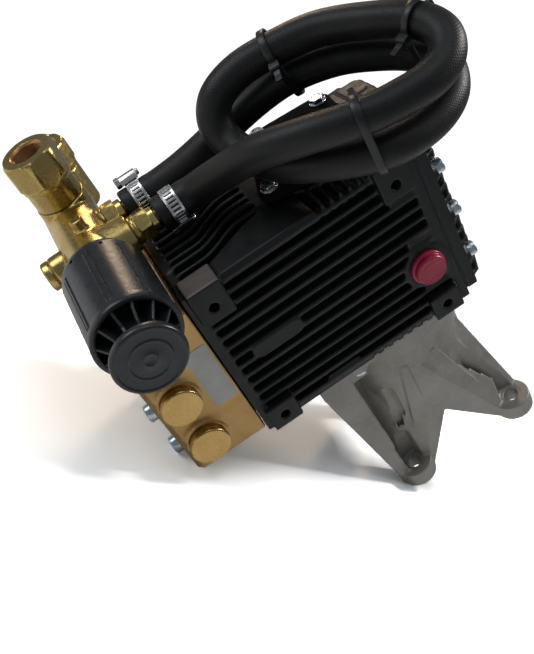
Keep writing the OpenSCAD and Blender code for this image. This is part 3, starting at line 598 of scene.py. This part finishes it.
# ------------------------------------------------------------------ turned brass
PORT_BASE_Z = 318.5
PORT_DUCT_R = 8.0
PORT_THREAD_R = 10.0


def make_port(name, node, x, y, top, hex_height, neck_r, thread_depth, turn):
    """Upright port tube: neck, hexagon at the top, threaded mouth."""
    length = top - PORT_BASE_Z
    neck = length - hex_height
    thread_end = length - thread_depth
    r = neck_r
    collar_r = r + 0.8
    if neck > 8:
        outside = [(r - 1.2, 0), (r - 0.2, 0.5), (r, 1.4), (r, neck - 4.4),
                   (r + 0.15, neck - 3.8), (r + 0.7, neck - 3.1), (collar_r, neck - 2.5)]
    else:
        outside = [(r - 0.3, 0), (r, 0.4), (r + 0.65, 0.8), (collar_r, 1.4)]
    outside += [(collar_r, neck - 0.3), (r + 0.45, neck + 0.2)]

    half_flats = (r + 3) * 0.8660
    # corner radius beyond the neck, z
    hex_rows = ((1.0, neck + 0.4), (2.05, neck + 1.3), (2.05, neck + hex_height * 0.5),
                (2.05, length - 2.0), (1.5, length - 0.9), (0.4, length - 0.12))
    outside += [(hexagon(half_flats, r + over), z) for over, z in hex_rows]

    bore = PORT_THREAD_R
    inside = [(bore + 1.4, length), (bore + 1.1, length - 0.2), (bore + 0.5, length - 1.0)]
    z = length - 1.3
    while z > thread_end + 1.6:
        inside += [(bore - 0.05, z - 0.5), (bore + 0.65, z - 1.0)]
        z -= 1.0
    inside += [(bore - 0.15, thread_end + 0.5), (PORT_DUCT_R + 0.2, thread_end + 0.1),
               (PORT_DUCT_R, thread_end - 0.4)]

    bm = bmesh.new()
    frame = place(x, y, PORT_BASE_Z, turn=math.radians(turn))
    lathe(bm, [(PORT_DUCT_R, 0)] + outside + inside, 96, frame, close=True)
    skin = make_skin(name, bm, "brass_olive", node, sharp=32)
    to_local = frame.inverted()

    def is_thread(face):
        x, y, z = to_local @ face.center
        return math.hypot(x, y) < (bore + 0.9) * MM and z > (thread_end + 0.3) * MM

    paint_faces(skin.data, "thread_root", is_thread)


def make_valve_caps():
    """Three caps on each of the -Y and +Y sides of the head."""
    cap_x, cap_y = -160, 62
    profile = round_profile([
        (0, -6), (10.6, -6), (10.6, -1.0), (12.4, 0.0), (12.4, 1.3), (13.4, 1.6, 0.3),
        (14, 2.4, 0.5), (14, 6.2, 0.5), (13.1, 7.0, 0.5), (5, 7.0), (0, 6.97)], 3)
    bm = bmesh.new()
    for k in (-1, 0, 1):
        for side in (-1, 1):
            z = PLUNGER_MIDDLE_Z + k * PLUNGER_PITCH
            lathe(bm, profile, 80, place(cap_x, side * cap_y, z, facing=(0, side, 0)))
    make_skin("valve_caps_turned", bm, "brass_cap", "valve_caps", sharp=40)


def make_unloader_plug():
    """Round blanking plug at the -X side of the unloader."""
    bm = bmesh.new()
    lathe(bm, round_profile([
        (0, 0.6), (6.6, 0.6), (7.2, 0.0, 0.3), (9.2, 0.0, 0.8), (10, 0.9, 0.6),
        (10, 4.9, 0.5), (9.4, 5.9, 0.3), (7, 6.0), (7, 14.5), (0, 14.5)], 3),
        64, place(-184, 7, UNLOADER_Z, facing=(1, 0, 0)))
    make_skin("unloader_plug_turned", bm, "brass_olive", "unloader_plug",
              sharp=40)


def make_nipples():
    """Hose barbs with a hexagon and a shoulder, pointing +X."""
    half_flats = 9.53
    profile = [(4, -129), (6.3, -129), (6.5, -128.5), (6.5, -119.2), (9.3, -119.15)]
    profile += [(hexagon(half_flats, cap), z) for cap, z in
                ((9.8, -119.1), (10.95, -118.2), (10.95, -111.0), (9.9, -110.2))]
    profile += [(8.0, -110.1), (7.9, -106.5), (7.4, -106.0), (5.6, -105.9)]
    for i in range(3):
        z = -104 + i * 4.4
        profile += [(5.4, z - 0.3), (6.1, z + 0.1), (6.05, z + 0.5), (5.4, z + 3.4)]
    profile += [(5.4, -91.6), (5.0, -91.1), (4, -91)]
    bm = bmesh.new()
    for shift, y in BARBS:
        frame = place(shift, y, HOSE_END_Z, facing=(1, 0, 0), turn=math.radians(12))
        lathe(bm, profile, 72, frame, close=True)
    make_skin("hose_nipples", bm, "brass_bright", "hose_barbs", sharp=30)


# ------------------------------------------------------------------ screws
SCREW_SEGMENTS = 72


def socket_head(bm, frame, head_r, height, shank_r, length, key_half):
    """Cap screw with a knurled head and a hexagon socket; the seat is at z = 0."""
    knurl = 0.12
    step = TAU / SCREW_SEGMENTS

    def knurled(a):
        return head_r - (knurl if round(a / step) % 2 else 0)

    socket = hexagon(key_half)
    lathe(bm, [
        (0, -length), (shank_r - 0.6, -length), (shank_r, -length + 0.6), (shank_r, -0.05),
        (head_r - 0.5, 0.0), (head_r - 0.05, 0.35),
        (knurled, 0.8), (knurled, height * 0.5), (knurled, height - 1.0),
        (head_r - 0.25, height - 0.35), (head_r - 0.8, height), (key_half * 1.3, height),
        (socket, height - 0.3), (socket, height - height * 0.55),
        (0, height - height * 0.6)], SCREW_SEGMENTS, frame)


def hex_head(bm, frame, flats, height, shank_r, length, washer_r=0):
    """Hexagon screw, with a washer if it has a radius; the seat is at z = 0."""
    half = flats / 2
    profile = [(0, -length), (shank_r - 0.5, -length), (shank_r, -length + 0.6),
               (shank_r, 0.0)]
    foot = 0.0
    if washer_r:
        foot = 0.9
        profile += [(washer_r, 0.0), (washer_r, 0.6), (washer_r - 0.3, foot)]
    # corner cap over the half width, z
    for cap, z in ((1.02, foot), (1.155, foot + 0.35), (1.155, height - 0.9),
                   (1.06, height - 0.25), (0.97, height)):
        profile.append((hexagon(half, half * cap), z))
    profile += [(half * 0.7, height - 0.05), (half * 0.62, height - 0.35),
                (0, height - 0.4)]
    lathe(bm, profile, SCREW_SEGMENTS, frame)


# skin, CAD node, head, sizes, direction, turn from screw to screw (radians), seats
SCREWS = (
    ("head_bolts_socket", "head_bolts", socket_head,
     dict(head_r=6.5, height=8, shank_r=4, length=66, key_half=3.1), (-1, 0, 0), 0.7,
     [(-177.1, y, PLUNGER_MIDDLE_Z + z) for y in (-30, 30)
      for z in (-57, -PLUNGER_PITCH / 2, PLUNGER_PITCH / 2)]),
    ("rear_cover_socket_screws", "rear_cover_screws", socket_head,
     dict(head_r=5, height=6, shank_r=3, length=27, key_half=2.5), (1, 0, 0), 0.5,
     [(53.5, y, z) for y in (-54, 54) for z in (175, 213, 249)]),
    ("side_cover_hex_screws", "side_cover_screws", hex_head,
     dict(flats=9.6, height=4.0, shank_r=3, length=15, washer_r=6.0), (0, 0, 1), 0.9,
     [(x, y, 285.05) for x, y in ((-38, -24), (25, 28.5), (-20, 33.5), (20, -38))]),
    ("flange_hex_screws", "flange_screws", hex_head,
     dict(flats=11.2, height=5, shank_r=4, length=16.5, washer_r=6.6), (0, 0, -1), 0.4,
     [(x, y, 139) for x, y in ((35, -41), (35, 41), (-48, -50), (-48, 50))]),
)


def make_screws():
    for name, node, head, sizes, facing, turn, seats in SCREWS:
        bm = bmesh.new()
        for i, seat in enumerate(seats):
            head(bm, place(*seat, facing=facing, turn=turn * i), **sizes)
        make_skin(name, bm, "zinc", node, sharp=30)


# ------------------------------------------------------------------ oil filler cap
def make_oil_cap():
    """Red cap facing -Y, with a raised arc on its face."""
    frame = place(22.5, -62.4, 191, facing=(0, -1, 0))
    bm = bmesh.new()
    lathe(bm, round_profile([
        (0, -11.5), (7.2, -11.5), (8, -10.7), (8, -0.02), (12.3, 0.0, 0.1), (12.3, 2.2, 0.9),
        (11.0, 2.7, 0.3), (10.9, 5.6, 1.6), (9.6, 7.0, 1.0), (8.8, 6.75, 0.2), (4, 6.75),
        (0, 6.8)], 4), 80, frame)

    arc_r, arc_start, arc_sweep, steps = 6.0, 35, 250, 24
    section = ((0.92, 6.6), (0.96, 7.0), (1.04, 7.0), (1.08, 6.6))    # share of arc_r, z

    def arc_section(i):
        a = math.radians(arc_start + arc_sweep * i / steps)
        x, y = arc_r * math.cos(a), arc_r * math.sin(a)
        return [bm.verts.new(frame @ Vector((x * share * MM, y * share * MM, z * MM)))
                for share, z in section]

    for i in range(steps):
        first, second = arc_section(i), arc_section(i + 1)
        bm.faces.new(first[::-1])
        bm.faces.new(second)
        skin_rings(bm, first, second)
    make_skin("oil_filler_cap", bm, "red", "oil_plug", sharp=45)


# ------------------------------------------------------------------ adjusting knob
KNOB_BASE_Y = UNLOADER_Y - 14.5
KNOB_LENGTH = 87
KNOB_RIBS = 8


def ribbed(r):
    """Knob wall with a narrow rib between two grooves, KNOB_RIBS times round."""
    def radius(a):
        degrees = abs(((a / TAU * KNOB_RIBS + 0.5) % 1) - 0.5) * 360 / KNOB_RIBS
        if degrees < 1.3:
            return r + 0.45
        return r - 0.55 if degrees < 4.0 else r
    return radius


def notched(r):
    """Knob wall with a notch in the middle of each panel between ribs."""
    def radius(a):
        degrees = abs(((a / TAU * KNOB_RIBS) % 1) - 0.5) * 360 / KNOB_RIBS
        return r - 1.6 if degrees < 2.2 else r
    return radius


def make_knob():
    """Hollow knob pointing -Y: ribbed shell, hub, floor of the well and spokes."""
    frame = place(UNLOADER_X, KNOB_BASE_Y, UNLOADER_Z, facing=(0, -1, 0))
    notch, rib = notched(26.9), ribbed(27.0)
    bm = bmesh.new()
    shell = [
        (15.6, 0.0), (24.6, 0.0), (25.8, 0.35), (26.35, 1.1), (26.6, 2.6), (26.9, 3.6),
        (26.9, 5.0), (notch, 5.2), (notch, 7.4), (26.9, 7.6), (26.95, 9.0),
        (ribbed(26.95), 9.6), (rib, 20), (rib, 34), (rib, 48), (rib, 60), (rib, 63.2),
        (27.0, 64.0), (27.2, 66), (27.2, 69.0), (26.9, 69.7), (26.2, 70.0), (24.6, 70.0),
        (24.0, 69.7), (23.7, 69.0), (23.4, 59.5), (15.6, 58.6)]
    hub = [(8, 57.2), (12.0, 57.2), (12.0, 80), (13.0, 87.2), (8, 87.2)]
    well_floor = [(11.0, 58.4), (23.6, 58.4), (23.6, 60.2), (11.0, 60.2)]
    for profile, segments in ((shell, 288), (hub, 64), (well_floor, 96)):
        lathe(bm, profile, segments, frame, close=True)

    spoke = [(10.5, 58.5), (24.2, 58.5), (24.6, 69.2), (23.0, 70.6), (17.2, 77.5),
             (15.8, 86.9), (10.5, 86.9)]    # r, z
    upright = Matrix.Rotation(math.radians(90), 4, "X")
    for i in range(12):
        turn = Matrix.Rotation(math.radians(i * 30 + 9), 4, "Z")
        prism(bm, spoke, -0.75, 0.75, frame @ (turn @ upright), bevel=0.3)
    make_skin("adjusting_knob_moulded", bm, "knob", "adjusting_knob",
              body="knob", sharp=28)


def make_knob_disc():
    """Disc that closes the -Y end of the knob."""
    frame = place(UNLOADER_X, KNOB_BASE_Y - KNOB_LENGTH, UNLOADER_Z, facing=(0, -1, 0))
    bm = bmesh.new()
    lathe(bm, round_profile([
        (0, 0.3), (20.6, 0.3), (21.8, 0.6, 0.4), (22.4, 1.9, 0.6), (22.4, 4.6, 0.8),
        (21.6, 6.2, 0.9), (20.0, 6.45, 0.4), (19.2, 5.75, 0.4), (13.6, 5.6, 0.3),
        (12.9, 6.35, 0.35), (12.1, 6.4, 0.3), (11.4, 5.8, 0.3), (4.8, 5.75),
        (4.4, 6.0, 0.2), (3.6, 6.0, 0.2), (3.3, 5.75), (0, 5.75)], 4), 128, frame)
    make_skin("knob_front_disc", bm, "knob", "knob_cap", body="knob",
              sharp=50)


# ------------------------------------------------------------------ bypass hose
HOSE_R = 11.1
HOSE_BORE_R = 6.6
# centre line from nipple to nipple: x, y, z
HOSE_POINTS = [Vector(point) for point in (
    (-105, -3, 300), (-96, -3, 300), (-87, -3, 300), (-76, -6, 301.5), (-62, -18, 309),
    (-39, -43, 323), (-14, -62, 327), (18, -76, 325), (45, -78, 322), (64, -78, 322),
    (79, -72, 325), (86, -60, 331), (81, -44, 337), (66, -26, 341), (38, 0, 344),
    (8, 11, 344), (-15, 16, 342), (-34, 15, 336), (-43, 12, 324), (-43, 4, 312),
    (-37, -13, 304), (-26, -38, 302.5), (-3, -62, 300.5), (26, -77, 297), (56, -74, 294),
    (78, -62, 296), (88, -42, 302), (79, -25, 308), (62, -10, 314), (41, 5, 318),
    (15, 17, 318.5), (-6, 27, 313), (-30, 32, 306.5), (-52, 30, 302.5), (-74, 27, 300.6),
    (-92, 26, 300), (-101, 26, 300), (-110, 26, 300), (-119, 26, 300))]


def catmull_rom(points, steps):
    """Smooth curve through the points, `steps` pieces to a span."""
    ends = [2 * points[0] - points[1]] + points + [2 * points[-1] - points[-2]]
    out = []
    for a, b, c, d in zip(ends, ends[1:], ends[2:], ends[3:]):
        for j in range(steps):
            t = j / steps
            out.append(0.5 * ((2 * b) + (c - a) * t + (2 * a - 5 * b + 4 * c - d) * t * t
                              + (3 * b - a - 3 * c + d) * t ** 3))
    out.append(points[-1].copy())
    return out


def densify_ends(path, total):
    """Extra points near both ends, so that the swelling at the clamps shows."""
    out = []
    travelled = 0
    for here, after in zip(path, path[1:]):
        out.append(here)
        step = (after - here).length
        if (travelled < 26 or travelled > total - 28) and step > 1.0:
            pieces = int(step / 0.8)
            out += [here.lerp(after, j / pieces) for j in range(1, pieces)]
        travelled += step
    out.append(path[-1])
    return out


def sweep(bm, path, radius_at, segments):
    """Tube along a path with its UV map "along"; returns the first and last rings."""
    uv_layer = bm.loops.layers.uv.get("along") or bm.loops.layers.uv.new("along")
    last = len(path) - 1
    tangents = [(path[min(last, i + 1)] - path[max(0, i - 1)]).normalized()
                for i in range(last + 1)]
    tangents[0] = Vector((1, 0, 0))
    tangents[-1] = Vector((-1, 0, 0))
    normal = Vector((0, 0, 1))
    travelled = 0.0
    rings = []
    for i, (centre, tangent) in enumerate(zip(path, tangents)):
        if i:
            travelled += (centre - path[i - 1]).length
        normal = (normal - tangent * normal.dot(tangent)).normalized()
        side = tangent.cross(normal)
        r = radius_at(travelled)
        ring = []
        for j in range(segments):
            a = TAU * j / segments
            spoke = normal * math.cos(a) + side * math.sin(a)
            ring.append(bm.verts.new((centre + spoke * r) * MM))
        rings.append((ring, travelled))
    for (first, u0), (second, u1) in zip(rings, rings[1:]):
        for j in range(segments):
            k = (j + 1) % segments
            face = bm.faces.new((first[j], first[k], second[k], second[j]))
            corners = ((u0, j), (u0, j + 1), (u1, j + 1), (u1, j))
            for loop, (u, v) in zip(face.loops, corners):
                loop[uv_layer].uv = (u * MM, v / segments)
    return rings[0][0], rings[-1][0]


def make_hose():
    path = catmull_rom(HOSE_POINTS, 9)
    total = sum((after - here).length for here, after in zip(path, path[1:]))

    def outer_radius(travelled):
        """Squeezed under each clamp and a little swollen on either side of it."""
        end = min(travelled, total - travelled)
        r = HOSE_R
        r -= 0.35 * math.exp(-((end - 12.0) / 4.0) ** 2)
        r += 0.25 * math.exp(-((end - 19.5) / 3.0) ** 2)
        r += 0.15 * math.exp(-((end - 3.5) / 3.0) ** 2)
        return r - 0.6 if end < 0.8 else r

    path = densify_ends(path, total)
    bm = bmesh.new()
    outer_ends = sweep(bm, path, outer_radius, 40)
    inner_ends = sweep(bm, path, lambda travelled: HOSE_BORE_R, 24)
    for outer, inner in zip(outer_ends, inner_ends):
        touching = {edge for vert in outer + inner for edge in vert.link_edges}
        rim = [edge for edge in touching if len(edge.link_faces) == 1]
        bmesh.ops.bridge_loops(bm, edges=rim)
    make_skin("bypass_hose_rubber", bm, "hose", "bypass_hose")


# ------------------------------------------------------------------ cable ties
# hose centre at one end of the loop, at the other, and the direction of the band's width
TIES = (
    ((8, 11, 344), (14.1, 17.4, 318.4), (-0.94, 0.34, -0.07)),
    ((81, -44.2, 337), (86.8, -38.3, 303.2), (-0.37, 0.88, 0.28)),
    ((18, -75.8, 325), (18.5, -74.1, 298), (0.95, -0.3, -0.1)),
)
TIE_BAND = ((12.2, -2.2), (13.55, -2.35), (13.8, -1.7),
            (13.8, 1.7), (13.55, 2.35), (12.2, 2.2))    # section: r, z
TIE_HEAD = [(-4, 13.0), (3, 13.0), (3, 18.0), (1.8, 18.5), (-2.8, 18.5), (-4, 17.6)]
TIE_TAIL = [(-2.0, 17.9), (-0.7, 17.9), (-0.3, 22), (-0.9, 27.0), (-2.1, 27.0), (-1.6, 22)]


def add_tie(bm, start, end, width):
    """Band round two runs of hose, with its head and cut-off tail."""
    start, width = Vector(start), Vector(width)
    span = Vector(end) - start
    length = span.length
    x_axis = span / length
    z_axis = (width - x_axis * width.dot(x_axis)).normalized()
    y_axis = z_axis.cross(x_axis)
    frame = Matrix((x_axis, y_axis, z_axis)).transposed().to_4x4()
    frame.translation = start * MM

    rings = []
    for r, z in TIE_BAND:
        ring = []
        for centre_x, first_angle in ((0, 90), (length, -90)):
            for i in range(25):
                a = math.radians(first_angle + 180 * i / 24)
                point = Vector((centre_x + r * math.cos(a), r * math.sin(a), z))
                ring.append(bm.verts.new(frame @ (point * MM)))
        rings.append(ring)
    for first, second in zip(rings, rings[1:] + rings[:1]):
        skin_rings(bm, first, second)
    prism(bm, TIE_HEAD, -3.4, 3.4, frame, bevel=0.5)
    prism(bm, TIE_TAIL, -2.0, 2.0, frame, bevel=0.25)


def make_ties():
    bm = bmesh.new()
    for tie in TIES:
        add_tie(bm, *tie)
    make_skin("cable_ties_nylon", bm, "tie", "cable_ties", sharp=35)


# ------------------------------------------------------------------ hose clamps
CLAMP_X = -97.5             # -X edge of the band on the unshifted nipple
CLAMP_TURNS = (180, -35)    # screw housing of each clamp, degrees about X from +Z
CLAMP_R = 12.35
CLAMP_BORE_R = 11.55
CLAMP_SLOTS = 26


def add_clamp(bm, shift, y, turn):
    """Slotted band with a pressed saddle and a screw through it."""
    x = CLAMP_X + shift
    frame = place(x, y, HOSE_END_Z, facing=(1, 0, 0))
    swing = Matrix.Rotation(math.radians(turn), 4, "X")
    housing_way = frame.to_3x3().inverted() @ (swing.to_3x3() @ Vector((0, 0, 1)))
    housing_angle = math.atan2(housing_way.y, housing_way.x)

    def slotted(a):
        """Slots all round, except beneath the housing."""
        away = abs(((a - housing_angle + math.pi) % TAU) - math.pi)
        phase = ((a - housing_angle) / TAU * CLAMP_SLOTS) % 1
        return CLAMP_R - 0.65 if away > 0.34 and 0.24 < phase < 0.76 else CLAMP_R

    r = CLAMP_R
    lathe(bm, [
        (CLAMP_BORE_R, 0.1), (r - 0.15, 0.0), (r + 0.15, 0.25), (r, 0.7), (r, 1.8),
        (slotted, 2.0), (slotted, 4.5), (slotted, 7.0), (r, 7.2), (r, 8.3),
        (r + 0.15, 8.75), (r - 0.15, 9.0), (CLAMP_BORE_R, 8.9)],
        CLAMP_SLOTS * 10, frame, close=True)

    housing = place(x, y, HOSE_END_Z) @ swing
    # saddle outline in Y and Z, its length along X
    along_x = Matrix(((0, 0, 1, 0), (1, 0, 0, 0), (0, 1, 0, 0), (0, 0, 0, 1)))
    saddle = [(-5, 12.2), (-4.6, 15.2), (-3.6, 17.4), (-1.6, 18.7),
              (1.6, 18.7), (3.6, 17.4), (4.6, 15.2), (5, 12.2)]
    prism(bm, saddle, -1.5, 10.5, housing @ along_x, bevel=0.5)
    hex_head(bm, housing @ place(-1.5, 0, 15.6, facing=(-1, 0, 0)),
             flats=6.6, height=3.4, shank_r=2.2, length=14)


def is_slot_floor(face):
    x, y, z = face.center / MM
    return any(11.6 < math.hypot(y - barb_y, z - HOSE_END_Z) < 11.95
               and 1.9 < x - CLAMP_X - shift < 7.1 for shift, barb_y in BARBS)


def make_clamps():
    bm = bmesh.new()
    for (shift, y), turn in zip(BARBS, CLAMP_TURNS):
        add_clamp(bm, shift, y, turn)
    skin = make_skin("hose_clamps_steel", bm, "stainless", "hose_clamps",
                     sharp=30)
    paint_faces(skin.data, "slot_dark", is_slot_floor)


# ------------------------------------------------------------------ label
def rounded_rectangle(x0, x1, y0, y1, r, steps=5):
    out = []
    for centre_x, centre_y, start in ((x1 - r, y1 - r, 0), (x0 + r, y1 - r, 90),
                                      (x0 + r, y0 + r, 180), (x1 - r, y0 + r, 270)):
        for i in range(steps + 1):
            a = math.radians(start + 90 * i / steps)
            out.append((centre_x + r * math.cos(a), centre_y + r * math.sin(a)))
    return out


def make_label():
    """Blank plate on the -Y side: outline in X and Z, thickness along +Y."""
    along_y = Matrix(((1, 0, 0, 0), (0, 0, 1, 0), (0, 1, 0, 0), (0, 0, 0, 1)))
    bm = bmesh.new()
    prism(bm, rounded_rectangle(-142, -125.5, 191.5, 241.5, r=1.2), 0.0, 0.3,
          place(0, -61.28, 0) @ along_y, bevel=0.06)
    make_skin("label_blank", bm, "label", "label_plate", sharp=30)


# ------------------------------------------------------------------ CAD nodes
def numbered(name, count=3):
    return tuple(f"{name}_{i}" for i in range(1, count + 1))


# finish of each CAD node, whether or not a skin stands for it
CAD_FINISHES = {
    "cast_black": ("crankcase", "rear_cover", "side_cover"),
    "cast_grey": ("engine_flange",),
    "brass_head": ("manifold_head",),
    "brass_olive": ("unloader_body", "inlet_port_tube", "outlet_port_tube", "unloader_plug",
                    "spring_disc"),
    "brass_cap": ("valve_caps", "seal_retainers", "gallery_plugs"),
    "brass_bright": ("hose_barbs",),
    "zinc": ("head_bolts", "rear_cover_screws", "side_cover_screws", "flange_screws",
             "head_bolt_washers"),
    "steel": ("bearing_outer_races", "crankshaft", "bearing_inner_races", "bearing_balls",
              "unloader_spring", *numbered("wrist_pin"), *numbered("crosshead")),
    "stainless": ("hose_clamps", "valve_seats", "valve_springs", "unloader_piston",
                  *numbered("valve_poppet", 6)),
    "rubber": ("bypass_hose", "drive_oil_seal", "plunger_oil_seals", "water_seals",
               "valve_cap_orings"),
    "gasket": ("rear_cover_gasket",),
    "sight": ("sight_glass",),
    "white": ("valve_cages",),
    "ceramic": numbered("plunger"),
    "conrod_alloy": numbered("connecting_rod"),
    "red": ("oil_plug",),
    "knob": ("adjusting_knob", "knob_cap"),
    "tie": ("cable_ties",),
    "label": ("label_plate",),
}


def finish_cad():
    for finish, nodes in CAD_FINISHES.items():
        for node in nodes:
            slots = CAD[node].data.materials
            slots.clear()
            slots.append(material(finish))


# ------------------------------------------------------------------ camera
def make_camera():
    """Returns the camera's right and forward directions."""
    forward = Vector((0.0367, 0.7592, -0.6498)).normalized()
    right = Vector((0.8274, -0.3878, -0.4063))
    right = (right - forward * right.dot(forward)).normalized()
    down = forward.cross(right)
    # the pump's origin seen from the camera: right, down and forward, mm
    origin = Vector((139.59, 62.98, 822.97))
    data = bpy.data.cameras.new("camera")
    camera = bpy.data.objects.new("camera", data)
    bpy.context.scene.collection.objects.link(camera)
    position = -(Matrix((right, down, forward)).transposed() @ origin) * MM
    axes = Matrix((right, -down, -forward)).transposed()
    camera.matrix_world = Matrix.Translation(position) @ axes.to_4x4()
    data.lens = 55.045872
    data.sensor_width = 36
    data.clip_start = 0.02
    data.clip_end = 50
    bpy.context.scene.camera = camera
    return right, forward


# ------------------------------------------------------------------ floor
def resting_plane():
    """Unit normal and distance of the plane under the lowest parts and the head's -X end."""
    bpy.context.view_layer.update()    # settle the transforms first
    clouds = []
    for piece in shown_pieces():
        if piece.name == "bypass_hose_rubber":
            continue
        points = np.zeros(len(piece.data.vertices) * 3)
        piece.data.vertices.foreach_get("co", points)
        clouds.append(points.reshape(-1, 3))
    points = np.concatenate(clouds)
    feet = points[points[:, 2] < 0.03]
    head = points[points[:, 0] < -0.165]
    low, high = math.radians(20), math.radians(80)
    for _ in range(50):
        tilt = (low + high) / 2
        normal = np.array([math.sin(tilt), 0, math.cos(tilt)])
        if (feet @ normal).min() < (head @ normal).min():
            low = tilt      # the feet still hang lower: tilt more towards the head
        else:
            high = tilt
    tilt = (low + high) / 2
    up = Vector((math.sin(tilt), 0, math.cos(tilt)))
    return up, float((points @ np.array(up)).min())


def make_floor(up, distance):
    half_size, cells = 9.0, 12
    x_axis = up.orthogonal().normalized()
    y_axis = up.cross(x_axis)
    steps = [half_size * (2 * i / cells - 1) for i in range(cells + 1)]
    bm = bmesh.new()
    grid = [[bm.verts.new(up * distance + x_axis * x + y_axis * y) for y in steps]
            for x in steps]
    for i in range(cells):
        for j in range(cells):
            bm.faces.new((grid[i][j], grid[i + 1][j], grid[i + 1][j + 1], grid[i][j + 1]))
    mesh = bpy.data.meshes.new("floor")
    bm.to_mesh(mesh)
    bm.free()
    if mesh.polygons[0].normal.dot(up) < 0:
        mesh.flip_normals()
    floor = bpy.data.objects.new("floor", mesh)
    bpy.context.scene.collection.objects.link(floor)
    mesh.materials.append(material("floor_paper"))


# ------------------------------------------------------------------ light
LIT_CENTRE = Vector((-0.055, -0.005, 0.19))


def area_light(name, direction, distance, size, power, color):
    """Rectangular light, `distance` metres from the lit centre and facing it."""
    data = bpy.data.lights.new(name, "AREA")
    data.shape = "RECTANGLE"
    data.size, data.size_y = size
    data.energy = power
    data.color = color
    light = bpy.data.objects.new(name, data)
    bpy.context.scene.collection.objects.link(light)
    away = Vector(direction).normalized()
    light.matrix_world = (Matrix.Translation(LIT_CENTRE + away * distance)
                          @ away.to_track_quat("Z", "Y").to_matrix().to_4x4())


def make_lights(up, camera_right, camera_forward):
    right = (camera_right - up * camera_right.dot(up)).normalized()
    back = -camera_forward
    near = (back - up * back.dot(up)).normalized()    # along the floor, to the camera
    area_light("key", up + right * 0.62 - near * 0.25, distance=1.2, size=(0.34, 0.34),
               power=7.6, color=(1.0, 0.965, 0.93))
    area_light("top", up - right * 0.25 + near * 0.35, distance=1.3, size=(0.7, 0.7),
               power=1.8, color=(0.93, 0.97, 1.0))
    area_light("left", up * 0.55 - right + near * 0.2, distance=1.2, size=(0.5, 0.7),
               power=3.4, color=(0.90, 0.95, 1.0))
    area_light("strip", (0.33, 0.83, 0.45), distance=1.0, size=(0.09, 0.46),
               power=1.5, color=(1.0, 0.74, 0.52))


def make_world():
    """Dim bluish light on the pump, plain white to the camera."""
    world = bpy.data.worlds.new("studio")
    bpy.context.scene.world = world
    world.use_nodes = True
    nodes = Nodes(world.node_tree)
    output = nodes.node("ShaderNodeOutputWorld")
    ambient, backdrop = (
        nodes.node("ShaderNodeBackground", {0: color, 1: strength}).outputs[0]
        for color, strength in (((0.80, 0.91, 1), 0.19), ((1, 1, 1), 1.0)))
    camera_ray = nodes.node("ShaderNodeLightPath").outputs["Is Camera Ray"]
    nodes.feed(output.inputs[0], nodes.mix_shader(camera_ray, ambient, backdrop))


# ------------------------------------------------------------------ build
make_castings()
make_port("inlet_port_turned", "inlet_port_tube", x=-151, y=52, top=358, hex_height=21,
          neck_r=16.4, thread_depth=20, turn=18)
make_port("outlet_port_turned", "outlet_port_tube", x=-144.2, y=85.4, top=338,
          hex_height=16, neck_r=15.0, thread_depth=18.5, turn=-11.4)
make_valve_caps()
make_unloader_plug()
make_nipples()
make_screws()
make_oil_cap()
make_knob()
make_knob_disc()
make_hose()
make_ties()
make_clamps()
make_label()
finish_cad()

view_right, view_forward = make_camera()
floor_up, floor_distance = resting_plane()
make_floor(floor_up, floor_distance)
make_lights(floor_up, view_right, view_forward)
make_world()
bpy.context.scene.view_settings.view_transform = "Standard"
bpy.context.scene.view_settings.look = "None"
